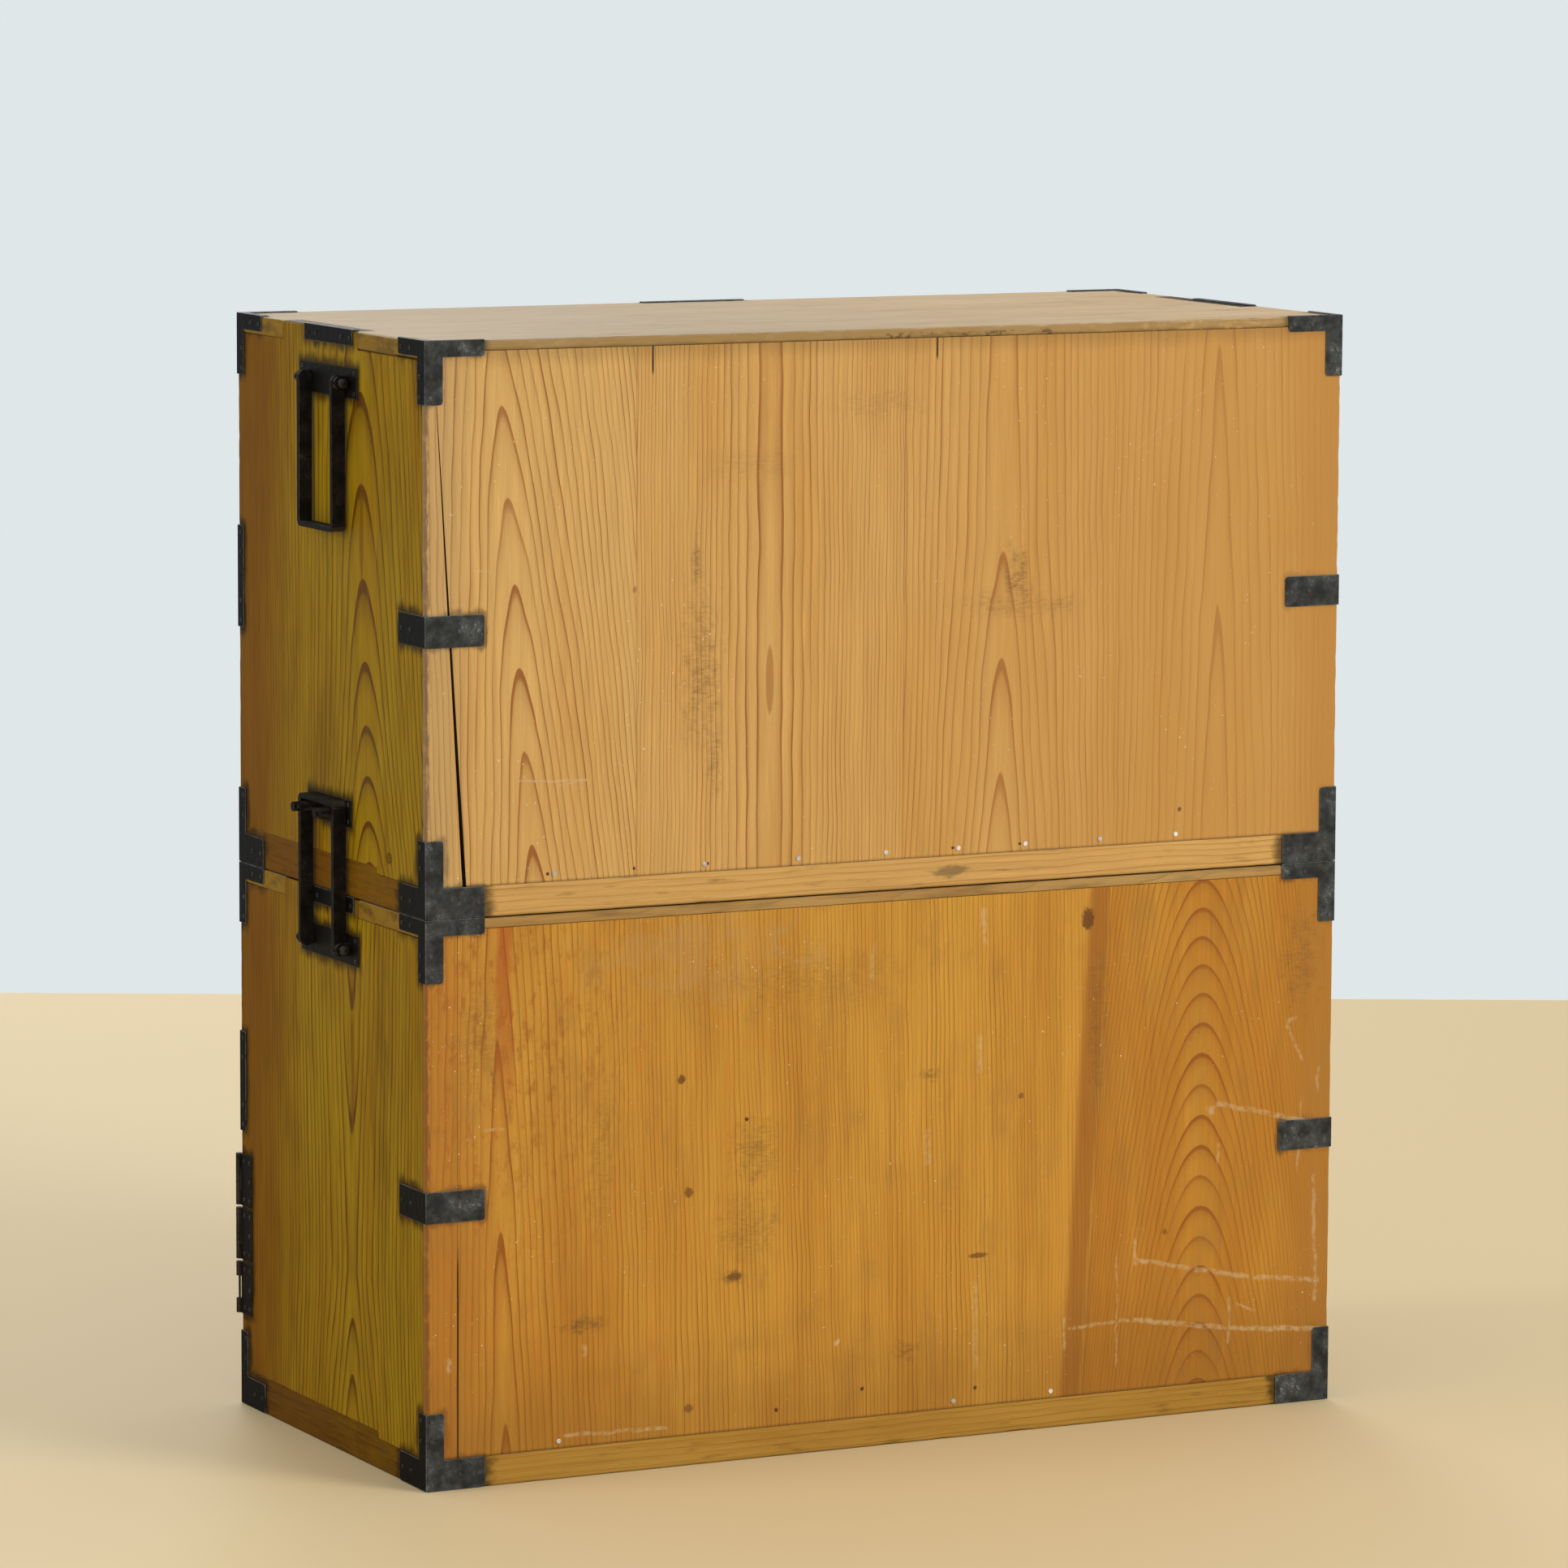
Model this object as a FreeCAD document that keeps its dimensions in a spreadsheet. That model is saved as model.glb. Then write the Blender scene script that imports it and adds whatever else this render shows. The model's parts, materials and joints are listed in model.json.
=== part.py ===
"""Two-section ship chest: two stacked softwood boxes with iron fittings, five drawers and a small
hinged safe door.  Millimetres, +Z up, drawers open towards -Y, origin on the floor under the centre."""
import FreeCAD, Part
import Sketcher
import os

doc = FreeCAD.newDocument("ship_chest")

# ------------------------------------------------------------------ driving dimensions
SIZES = [
    ("case_width", 952, "outside width of both wooden boxes"),
    ("case_depth", 434, "outside depth of both wooden boxes"),
    ("lower_height", 525, "height of the lower wooden box"),
    ("upper_height", 522.6, "height of the upper wooden box"),
    ("side_board", 20, "thickness of the side boards"),
    ("top_board", 17, "thickness of the top boards"),
    ("bottom_board", 14, "thickness of the bottom boards"),
    ("back_board", 8, "thickness of the planks of the back"),
    ("shelf_board", 12, "thickness of the shelves between the drawers"),
    ("partition_board", 14, "thickness of the upright beside the safe"),
    ("rail_height", 28.5, "height of the front and back base rails"),
    ("rail_width", 24, "width of the front and back base rails"),
    ("bearer_width", 40, "width of the bearer under the middle of a bottom board"),
    ("side_rail_height", 35, "height of the side base rails"),
    ("side_rail_step", 110, "length at the back where the side rail is only as high as the back rail"),
    ("top_lip", 9.5, "edge of the top board left above the back planks"),
    ("finger_front", 108, "front edge to the side board's finger through the top"),
    ("finger_length", 172.5, "length of the side board's finger through the top"),
    ("plank_gap", 0.3, "shrinkage gap between back planks"),
    ("upper_strip_foot", 36, "narrow plank of the upper back, width at the foot"),
    ("upper_strip_head", 8, "narrow plank of the upper back, width at the head"),
    ("split_width", 4, "open split beside the narrow plank, width at the foot"),
    ("upper_seam_one", 210, "right edge to the first plank seam, upper back"),
    ("upper_seam_two", 485, "right edge to the second plank seam, upper back"),
    ("upper_seam_three", 710, "right edge to the third plank seam, upper back"),
    ("lower_strip_width", 31, "narrow plank of the lower back"),
    ("lower_seam_one", 252, "right edge to the first plank seam, lower back"),
    ("lower_seam_two", 474, "right edge to the second plank seam, lower back"),
    ("lower_seam_foot", 681, "right edge to the slanting third seam, lower back, at the foot"),
    ("lower_seam_head", 709, "right edge to the slanting third seam, lower back, at the head"),
    ("long_opening", 187, "height of the long drawer's opening in the lower box"),
    ("safe_width", 270, "clear width behind the safe door"),
    ("safe_shelf_board", 9, "thickness of the shelf in the safe"),
    ("safe_shelf_setback", 6, "lock case to the front edge of the shelf in the safe"),
    ("drawer_front", 16, "thickness of drawer fronts and safe door"),
    ("drawer_wall", 9, "thickness of drawer sides and backs"),
    ("drawer_floor", 6, "thickness of drawer bottoms"),
    ("drawer_step", 6, "drawer sides stand this much lower than the front"),
    ("side_play", 0.8, "clearance each side of a drawer"),
    ("top_play", 1.5, "clearance above a drawer front"),
    ("seat_play", 0.3, "clearance below a drawer"),
    ("rear_play", 6, "clearance behind a drawer"),
    ("door_play", 1.2, "clearance all round the safe door"),
    ("iron_sheet", 1.2, "thickness of the iron fittings"),
    ("iron_inset", 3, "wood left bare beside an iron on a board's edge"),
    ("iron_lift", 0.5, "lowest irons above the floor"),
    ("corner_reach", 58, "length of a corner iron along an edge"),
    ("corner_height", 57, "upright arm of a top corner iron"),
    ("foot_corner_height", 72, "upright arm of a bottom corner iron"),
    ("side_arm", 15, "width of a corner iron's upright arm on the side"),
    ("strap_arm", 13, "lap of the front corner straps onto the side"),
    ("back_tab", 2.5, "lap of the rear corner irons onto the top"),
    ("front_tab", 7, "lap of the front corner irons onto the top"),
    ("back_strap_height", 29, "height of the straps round the rear corners"),
    ("front_strap_height", 97, "height of the straps round the front corners"),
    ("edge_strap_length", 110, "length of the straps over the top edges"),
    ("edge_strap_lap", 8, "lap of the edge straps onto the top"),
    ("handle_drop", 48, "top of a box to the side handle's pivot"),
    ("handle_plate_length", 132, "length of a side handle's plate"),
    ("handle_plate_height", 28, "height of a side handle's plate"),
    ("handle_bar_width", 13.5, "side handle, width of its flat bar"),
    ("handle_bar_thick", 5, "side handle, thickness of its flat bar"),
    ("handle_span", 81.6, "side handle, outside width"),
    ("handle_length", 137.5, "side handle, pivot to the outer face of its cross bar"),
    ("handle_corner", 7, "side handle, radius of its outer corners"),
    ("handle_gap", 0.6, "side handle's clearance from the irons behind it"),
    ("lug_thick", 5, "thickness of the lugs that carry a side handle"),
    ("lug_play", 0.4, "side clearance between a handle and its lug"),
    ("lug_radius", 6, "radius of a lug's rounded end"),
    ("shank_radius", 3, "radius of the shanks driven into the side boards"),
    ("shank_depth", 12, "depth of the shanks in the side boards"),
    ("handle_pin_radius", 2.5, "radius of a side handle's pins"),
    ("ball_radius", 4.6, "radius of the balls on the side handles' pins"),
    ("pin_play", 0.05, "running clearance of pins in their holes"),
    ("catch_length", 100, "length of the plate that carries the two catch pegs"),
    ("catch_height", 25, "height of the plate that carries the two catch pegs"),
    ("peg_radius", 4.5, "radius of a catch peg"),
    ("peg_reach", 27.5, "catch peg, from the side board to its end"),
    ("peg_spacing", 50, "distance between the two pegs of a catch"),
    ("peg_play", 1.8, "raised handle's clearance above the catch pegs"),
    ("peg_eye_radius", 2, "radius of the eye through a catch peg"),
    ("peg_eye_inset", 4.5, "end of a catch peg to its eye"),
    ("nail_radius", 2.2, "radius of the nail heads on the back"),
    ("nail_head", 0.8, "height of the nail heads on the back"),
    ("nail_shank_radius", 1.2, "radius of the nails' shanks"),
    ("nail_length", 22, "length of the nails in the back"),
    ("brad_radius", 2, "radius of the nail heads on the irons"),
    ("brad_head", 0.6, "height of the nail heads on the irons"),
    ("brad_shank", 0.9, "radius of the irons' nails"),
    ("brad_bite", 7, "length of the irons' nails behind their heads"),
    ("brad_margin", 6.5, "end of an iron to its last nail"),
    ("brad_spacing", 19, "distance between the two nails of an arm"),
    ("brad_edge", 4.5, "long edge of a plate to its nails"),
    ("pull_spacing", 460, "distance between the two pulls of a long drawer"),
    ("pull_plate_length", 112, "length of a drawer pull's plate"),
    ("pull_plate_height", 24, "height of a drawer pull's plate"),
    ("post_spacing", 76, "distance between the two posts of a pull"),
    ("post_radius", 4.5, "radius of a pull's posts"),
    ("post_reach", 12, "length of a pull's posts in front of the plate"),
    ("post_shank_radius", 2.2, "radius of a post's shank through the drawer front"),
    ("clinch_height", 1.5, "height of a shank's clinched end"),
    ("pull_axis_reach", 7.5, "plate to the pull's pivot"),
    ("pull_bar_radius", 3, "radius of a pull's round bar"),
    ("pull_drop", 36, "pivot to the middle of a pull's cross bar"),
    ("pull_corner", 9, "bend radius of a pull's corners"),
    ("pull_pin_radius", 2, "radius of a pull's turned-in ends"),
    ("hinge_depth", 25, "hinge leaf's depth on the side board"),
    ("hinge_gap", 2.6, "gap between one hinge and the next"),
    ("hinge_foot_gap", 16.5, "corner iron to the foot of the lowest hinge"),
    ("hinge_head_gap", 22.8, "head of the highest hinge to the front strap"),
    ("knuckle_radius", 3.2, "outside radius of the hinge knuckles"),
    ("knuckle_reach", 4, "front of the case to the hinge pin"),
    ("knuckle_height", 14, "height of a knuckle on the case leaf"),
    ("knuckle_play", 0.3, "clearance between knuckles and beside the door leaf"),
    ("hinge_pin_radius", 1.1, "radius of a hinge pin"),
    ("door_leaf_length", 62, "hinge leaf's length on the safe door"),
    ("lock_plate_width", 46, "width of the safe's lock plate"),
    ("lock_plate_height", 62, "height of the safe's lock plate"),
    ("lock_plate_inset", 5, "door's free edge to its lock plate"),
    ("keyhole_radius", 3, "radius of the keyhole"),
    ("lock_setback", 3, "door's free edge to the lock case behind it"),
    ("lock_case_length", 44, "length of the lock case"),
    ("lock_case_height", 34, "height of the lock case"),
    ("lock_case_depth", 11, "depth of the lock case"),
    ("bolt_length", 38, "length of the lock's bolt"),
    ("bolt_height", 16, "height of the lock's bolt"),
    ("bolt_thick", 5, "thickness of the lock's bolt"),
    ("bolt_play", 0.1, "clearance round the lock's bolt"),
    ("mortise_depth", 9, "depth of the mortise for the lock's bolt"),
    ("mortise_play", 1, "clearance round the bolt in its mortise"),
    ("knob_radius", 8, "radius of the safe door's knob"),
    ("knob_reach", 16, "safe door's face to the middle of its knob"),
    ("knob_neck", 3, "radius of the knob's neck"),
    ("knob_offset", 26, "lock plate's keyhole to the knob above it"),
]

sheet = doc.addObject("Spreadsheet::Sheet", "dims")
for row, (alias, value, note) in enumerate(SIZES, start=1):
    sheet.set(f"A{row}", note)
    sheet.set(f"B{row}", str(value))
    sheet.setAlias(f"B{row}", alias)
doc.recompute()

TOUCH = 1e-6
ORIGIN = FreeCAD.Vector(0, 0, 0)
TURN_TO_X = FreeCAD.Rotation(FreeCAD.Vector(0, 1, 0), 90)
TURN_TO_Y = FreeCAD.Rotation(FreeCAD.Vector(1, 0, 0), -90)
AXIS_TURNS = {"x": TURN_TO_X, "y": TURN_TO_Y, "z": FreeCAD.Rotation()}
PANEL_PLANES = {"xz": ("XZ_Plane", "y", True), "yz": ("YZ_Plane", "x", False)}
nodes = []


# ------------------------------------------------------------------ ways of making a piece
def number(expression):
    """The value that an expression has now."""
    value = sheet.evalExpression(expression)
    return float(getattr(value, "Value", value))


def mirrored(side, low, high):
    """A span on the +side, or the same span on the other side of the middle."""
    if side > 0:
        return (low, high)
    return (f"-({high})", f"-({low})")


def sided(side, place):
    """A place on the +side, or the same place on the other side of the middle."""
    return place if side > 0 else f"-({place})"


def about(middle, length):
    """A span of a length about its middle."""
    return (f"{middle} - ({length}) / 2", f"{middle} + ({length}) / 2")


def block(name, x_span, y_span, z_span):
    """A rectangular block between three pairs of expressions."""
    piece = doc.addObject("Part::Box", name)
    for size, axis, span in (("Length", "x", x_span), ("Width", "y", y_span), ("Height", "z", z_span)):
        piece.setExpression(size, f"({span[1]}) - ({span[0]})")
        piece.setExpression(f"Placement.Base.{axis}", span[0])
    return piece


def rod(name, axis, span, centre, radius):
    """A round rod along an axis; centre holds its places on the other two axes, in x, y, z order."""
    piece = doc.addObject("Part::Cylinder", name)
    piece.Placement = FreeCAD.Placement(ORIGIN, AXIS_TURNS[axis])
    piece.setExpression("Radius", radius)
    piece.setExpression("Height", f"({span[1]}) - ({span[0]})")
    across = [other for other in "xyz" if other != axis]
    for other, place in zip(across, centre):
        piece.setExpression(f"Placement.Base.{other}", place)
    piece.setExpression(f"Placement.Base.{axis}", span[0])
    return piece


def ball(name, centre, radius):
    """A ball at three expressions."""
    piece = doc.addObject("Part::Sphere", name)
    piece.setExpression("Radius", radius)
    for axis, place in zip("xyz", centre):
        piece.setExpression(f"Placement.Base.{axis}", place)
    return piece


def panel(name, plane, corners, start, thickness):
    """A flat board: an outline of expression pairs on an upright plane, padded from start."""
    role, axis, backwards = PANEL_PLANES[plane]
    body = doc.addObject("PartDesign::Body", name)
    support = [feature for feature in body.Origin.OriginFeatures if feature.Role == role][0]
    sketch = body.newObject("Sketcher::SketchObject", f"{name}_outline")
    sketch.AttachmentSupport = [(support, "")]
    sketch.MapMode = "FlatFace"
    points = [FreeCAD.Vector(number(across), number(up), 0) for across, up in corners]
    followers = points[1:] + points[:1]
    sketch.addGeometry([Part.LineSegment(a, b) for a, b in zip(points, followers)])
    for index, (point, corner) in enumerate(zip(points, corners)):
        sketch.addConstraint(Sketcher.Constraint("Coincident", index, 2, (index + 1) % len(points), 1))
        places = (("DistanceX", point.x), ("DistanceY", point.y))
        for (kind, place), expression in zip(places, corner):
            held = sketch.addConstraint(Sketcher.Constraint(kind, index, 1, place))
            sketch.setExpression(f"Constraints[{held}]", expression)
    pad = body.newObject("PartDesign::Pad", f"{name}_pad")
    pad.Profile = sketch
    pad.Reversed = backwards
    pad.setExpression("Length", thickness)
    body.setExpression(f"Placement.Base.{axis}", start)
    return body


def joined(name, pieces):
    """One solid from pieces that touch or overlap."""
    piece = doc.addObject("Part::MultiFuse", name)
    piece.Shapes = pieces
    piece.Refine = True
    return piece


def together(name, pieces):
    """Separate solids kept in one object."""
    piece = doc.addObject("Part::Compound", name)
    piece.Links = pieces
    return piece


def cut(name, base, tools):
    """A piece with other shapes taken out of it."""
    piece = doc.addObject("Part::Cut", name)
    piece.Base = base
    piece.Tool = tools[0] if len(tools) == 1 else together(f"{name}_tools", tools)
    return piece


def node(label, piece):
    """Keeps a finished piece under the name that it is written with."""
    piece.Label = label
    nodes.append(piece)


# ------------------------------------------------------------------ shared places
half_width = "dims.case_width / 2"
inner_half = "(dims.case_width / 2 - dims.side_board)"
front = "(-dims.case_depth / 2)"
back = "(dims.case_depth / 2)"
inner_back = "(dims.case_depth / 2 - dims.back_board)"
upper_base = "(dims.lower_height + dims.iron_sheet)"
SECTIONS = {
    "lower": {"base": "0", "top": "dims.lower_height"},
    "upper": {"base": upper_base, "top": f"({upper_base} + dims.upper_height)"},
}
for section in SECTIONS.values():
    section["rail_top"] = f"({section['base']} + dims.rail_height)"
    section["floor"] = f"({section['base']} + dims.rail_height + dims.bottom_board)"
    section["ceiling"] = f"({section['top']} - dims.top_board)"
    section["pivot"] = f"({section['top']} - dims.handle_drop)"
SIDES = {"right": 1, "left": -1}

full_inner = (f"-{inner_half}", inner_half)
board_depth = (front, inner_back)
lower_floor = SECTIONS["lower"]["floor"]
lower_ceiling = SECTIONS["lower"]["ceiling"]
upper_floor = SECTIONS["upper"]["floor"]
upper_ceiling = SECTIONS["upper"]["ceiling"]
long_floor = f"({lower_ceiling} - dims.long_opening)"
lower_shelf_under = f"({long_floor} - dims.shelf_board)"
upper_shelf_under = f"(({upper_floor} + {upper_ceiling} - dims.shelf_board) / 2)"
upper_shelf_top = f"({upper_shelf_under} + dims.shelf_board)"
safe_left = f"({inner_half} - dims.safe_width)"
partition_left = f"({safe_left} - dims.partition_board)"
small_shelf_under = f"(({lower_floor} + {lower_shelf_under} - dims.shelf_board) / 2)"
small_shelf_top = f"({small_shelf_under} + dims.shelf_board)"

door_left = f"({safe_left} + dims.door_play)"
door_right = f"({inner_half} - dims.door_play)"
door_z = (f"{lower_floor} + dims.door_play", f"{lower_shelf_under} - dims.door_play")
door_middle = f"(({lower_floor} + {lower_shelf_under}) / 2)"
door_back = f"({front} + dims.drawer_front)"
bolt_y = about(f"({door_back} + dims.lock_case_depth / 2)", "dims.bolt_thick")
bolt_z = about(door_middle, "dims.bolt_height")

# The side handle's pivot stands clear of the irons by half its bar.
handle_inner_x = f"({half_width} + dims.iron_sheet + dims.handle_gap)"
handle_pivot_x = f"({handle_inner_x} + dims.handle_bar_width / 2)"
handle_outer_x = f"({handle_inner_x} + dims.handle_bar_width)"
handle_half = "(dims.handle_span / 2)"
lug_inner_y = f"({handle_half} + dims.lug_play)"
lug_outer_y = f"({lug_inner_y} + dims.lug_thick)"
lug_middle_y = f"({lug_inner_y} + dims.lug_thick / 2)"
peg_z = (f"({SECTIONS['lower']['pivot']} + dims.handle_length - dims.handle_bar_thick"
         " - dims.peg_play - dims.peg_radius)")

shelf_middles = {
    "upper": f"({upper_shelf_under} + dims.shelf_board / 2)",
    "lower": f"({lower_shelf_under} + dims.shelf_board / 2)",
}

# The lowest of the three hinges has only its case leaf and its pin.
HINGE_COUNT = 3
BARE_HINGES = 1
hinge_start = "(dims.foot_corner_height + dims.hinge_foot_gap)"
hinge_end = f"({shelf_middles['lower']} - dims.front_strap_height / 2 - dims.hinge_head_gap)"
hinge_height = f"(({hinge_end} - {hinge_start} - {HINGE_COUNT - 1} * dims.hinge_gap) / {HINGE_COUNT})"


def hinge_span(index):
    """The foot and head of a hinge, counted from the lowest."""
    foot = f"({hinge_start} + {index} * ({hinge_height} + dims.hinge_gap))"
    return foot, f"({foot} + {hinge_height})"


# ------------------------------------------------------------------ nails of the irons
FACES = {"right": ("x", 1), "left": ("x", -1), "back": ("y", 1), "front": ("y", -1)}
EDGES = {"x": half_width, "y": "dims.case_depth / 2"}
DEPTH_SIDES = {"back": 1, "front": -1}
EDGE_FACES = ("right", "left", "front")
iron_shanks = {(group, face): [] for group in ("lower", "upper", "door") for face in FACES}
iron_nails = {"case": [], "door": []}


def iron_nail(group, face, across, level):
    """A nail through the sheet of an iron on one face of the chest."""
    axis, side = FACES[face]
    outer = f"{EDGES[axis]} + dims.iron_sheet"
    name = f"{group}_{face}_brad_{len(iron_shanks[group, face])}"
    shank = rod(f"{name}_shank", axis, mirrored(side, f"{outer} - dims.brad_bite", outer),
                (across, level), "dims.brad_shank")
    head = rod(f"{name}_head", axis, mirrored(side, outer, f"{outer} + dims.brad_head"),
               (across, level), "dims.brad_radius")
    iron_shanks[group, face].append(shank)
    iron_nails["door" if group == "door" else "case"].append(joined(name, [shank, head]))


def nail_pair(length):
    """The two nails of an arm, as distances along it."""
    last = f"({length} - dims.brad_margin)"
    return last, f"({last} - dims.brad_spacing)"


def both_ways(distances):
    """Distances on both sides of a middle."""
    return [f"{sign} {distance}" for sign in "+-" for distance in distances]


def edge_faces(side_name, side, end_name):
    """The two faces that meet at an upright edge: name, axis along the face, sign of the edge."""
    return (side_name, "y", DEPTH_SIDES[end_name]), (end_name, "x", side)


def upright_inset(face):
    """Edge of the chest to the nails of an upright, so that they bite in a plank or a side board."""
    return "dims.brad_edge" if face == "back" else "(dims.side_arm - dims.brad_edge)"


def corner_iron_nails(kind, section):
    """Nails of the eight corner irons of a box: two in each arm and two in each upright."""
    irons = (
        (section["top"], "-", "(dims.top_board - dims.iron_inset)", "dims.corner_height"),
        (section["base"], "+", "dims.rail_height", "dims.foot_corner_height"),
    )
    for side_name, side in SIDES.items():
        for end_name in DEPTH_SIDES:
            for face, along, sign in edge_faces(side_name, side, end_name):
                for level, away, arm_height, upright_height in irons:
                    for reach in nail_pair("dims.corner_reach"):
                        iron_nail(kind, face, sided(sign, f"{EDGES[along]} - {reach}"),
                                  f"{level} {away} {arm_height} / 2")
                    for rise in nail_pair(upright_height):
                        iron_nail(kind, face,
                                  sided(sign, f"{EDGES[along]} - {upright_inset(face)}"),
                                  f"{level} {away} {rise}")


def strap_nails(kind, section):
    """Nails of the straps round the corners and over the top edges of a box."""
    middle = f"(({section['base']} + {section['top']}) / 2)"
    for side_name, side in SIDES.items():
        for face, along, sign in edge_faces(side_name, side, "back"):
            for reach in nail_pair("dims.corner_reach"):
                iron_nail(kind, face, sided(sign, f"{EDGES[along]} - {reach}"), middle)
        for face, along, sign in edge_faces(side_name, side, "front"):
            for rise in both_ways(nail_pair("dims.front_strap_height / 2")):
                iron_nail(kind, face, sided(sign, f"{EDGES[along]} - dims.strap_arm / 2"),
                          f"{shelf_middles[kind]} {rise}")
        for reach in nail_pair("dims.corner_reach"):
            iron_nail(kind, "front", sided(side, f"{EDGES['x']} - {reach}"), shelf_middles[kind])
    level = f"{section['top']} - (dims.top_board - dims.iron_inset) / 2"
    for face in EDGE_FACES:
        for place in both_ways(nail_pair("dims.edge_strap_length / 2")):
            iron_nail(kind, face, place, level)


def plate_nails(kind, face, length, height, level):
    """A nail at each corner of a plate on a side of the chest."""
    for place in both_ways([f"({length} / 2 - dims.brad_margin)"]):
        for rise in both_ways([f"({height} / 2 - dims.brad_edge)"]):
            iron_nail(kind, face, place, f"{level} {rise}")


def hinge_nails(index):
    """Five nails in a hinge's leaf on the case, and four in its leaf on the door."""
    foot, head = hinge_span(index)
    middle = f"(({foot} + {head}) / 2)"
    rises = both_ways([f"(({head} - {foot}) / 2 - dims.brad_margin)"])
    far = f"{front} + dims.hinge_depth - dims.brad_edge"
    for rise in rises:
        iron_nail("lower", "right", far, f"{middle} {rise}")
        iron_nail("lower", "right", f"{front} + dims.hinge_depth / 3", f"{middle} {rise}")
    iron_nail("lower", "right", far, middle)
    if index >= BARE_HINGES:
        for reach in nail_pair("dims.door_leaf_length"):
            for rise in rises:
                iron_nail("door", "front", f"{door_right} - {reach}", f"{middle} {rise}")


for kind, section in SECTIONS.items():
    corner_iron_nails(kind, section)
    strap_nails(kind, section)
    for side_name in SIDES:
        plate_nails(kind, side_name, "dims.handle_plate_length", "dims.handle_plate_height",
                    section["pivot"])
for side_name in SIDES:
    plate_nails("upper", side_name, "dims.catch_length", "dims.catch_height", peg_z)
for index in range(HINGE_COUNT):
    hinge_nails(index)
shank_groups = {key: together(f"{key[0]}_{key[1]}_shanks", shanks)
                for key, shanks in iron_shanks.items() if shanks}


def nail_holes(groups, faces=tuple(FACES)):
    """The shanks on some faces of some groups, as tools that cut the nails' holes."""
    return [shank_groups[group, face] for group in groups for face in faces]


node("iron_nails", together("iron_nails", iron_nails["case"]))


# ------------------------------------------------------------------ fixings that need holes
def handle_shanks(name, side, pivot_z):
    """The two shanks of a side handle's lugs, from the plate's face into the side board."""
    x_span = mirrored(side, f"{half_width} - dims.shank_depth", f"{half_width} + dims.iron_sheet")
    return [rod(f"{name}_{end}_shank", "x", x_span, (sided(end, lug_middle_y), pivot_z),
                "dims.shank_radius") for end in (-1, 1)]


def peg_shanks(name, side):
    """The two shanks of a catch's pegs."""
    x_span = mirrored(side, f"{half_width} - dims.shank_depth", f"{half_width} + dims.iron_sheet")
    return [rod(f"{name}_{end}_shank", "x", x_span, (sided(end, "dims.peg_spacing / 2"), peg_z),
                "dims.shank_radius") for end in (-1, 1)]


# ------------------------------------------------------------------ the two wooden boxes
def base_rails(kind, section):
    """Front and back rails, a bearer between them, and side rails that step down at the back."""
    low = (section["base"], section["rail_top"])
    raised = (section["rail_top"], f"{section['base']} + dims.side_rail_height")
    full = (f"-{half_width}", half_width)
    between_rails = (f"{front} + dims.rail_width", f"{back} - dims.rail_width")
    rails = [
        block(f"{kind}_front_rail", full, (front, f"{front} + dims.rail_width"), low),
        block(f"{kind}_back_rail", full, (f"{back} - dims.rail_width", back), low),
        block(f"{kind}_bearer", about("0", "dims.bearer_width"), between_rails, low),
    ]
    for side_name, side in SIDES.items():
        x_span = mirrored(side, inner_half, half_width)
        long_part = block(f"{kind}_{side_name}_rail_run", x_span, between_rails, low)
        high_part = block(f"{kind}_{side_name}_rail_crest", x_span,
                          (front, f"{back} - dims.side_rail_step"), raised)
        rails.append(joined(f"{kind}_{side_name}_rail", [long_part, high_part]))
    node(f"{kind}_base_rails",
         cut(f"{kind}_base_rails", together(f"{kind}_rail_set", rails), nail_holes([kind])))


def side_board(kind, section, side_name, side):
    """A side board with its finger through the top board and holes for the handle's fixings."""
    step_y = f"{back} - dims.side_rail_step"
    crest = f"{section['base']} + dims.side_rail_height"
    finger_start = f"{front} + dims.finger_front"
    finger_end = f"{front} + dims.finger_front + dims.finger_length"
    corners = [
        (front, crest), (step_y, crest), (step_y, section["rail_top"]),
        (inner_back, section["rail_top"]), (inner_back, section["ceiling"]),
        (finger_end, section["ceiling"]), (finger_end, section["top"]),
        (finger_start, section["top"]), (finger_start, section["ceiling"]),
        (front, section["ceiling"]),
    ]
    start = mirrored(side, inner_half, half_width)[0]
    name = f"{kind}_side_{side_name}"
    board = panel(f"{name}_board", "yz", corners, start, "dims.side_board")
    holes = handle_shanks(f"{name}_hole", side, section["pivot"])
    holes += nail_holes([kind], (side_name, "front"))
    if kind == "upper":
        holes += peg_shanks(f"{name}_peg_hole", side)
    node(name, cut(name, board, holes))


def top_board(kind, section):
    """A top board, notched for the side boards' fingers and rebated for the back planks."""
    blank = block(f"{kind}_top_blank", (f"-{half_width}", half_width), (front, back),
                  (section["ceiling"], section["top"]))
    finger_y = (f"{front} + dims.finger_front", f"{front} + dims.finger_front + dims.finger_length")
    tools = [block(f"{kind}_{side_name}_notch", mirrored(side, inner_half, half_width), finger_y,
                   (section["ceiling"], section["top"])) for side_name, side in SIDES.items()]
    tools.append(block(f"{kind}_rebate", (f"-{half_width}", half_width), (inner_back, back),
                       (section["ceiling"], f"{section['top']} - dims.top_lip")))
    tools += nail_holes([kind])
    node(f"{kind}_top_board", cut(f"{kind}_top_board", blank, tools))


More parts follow.
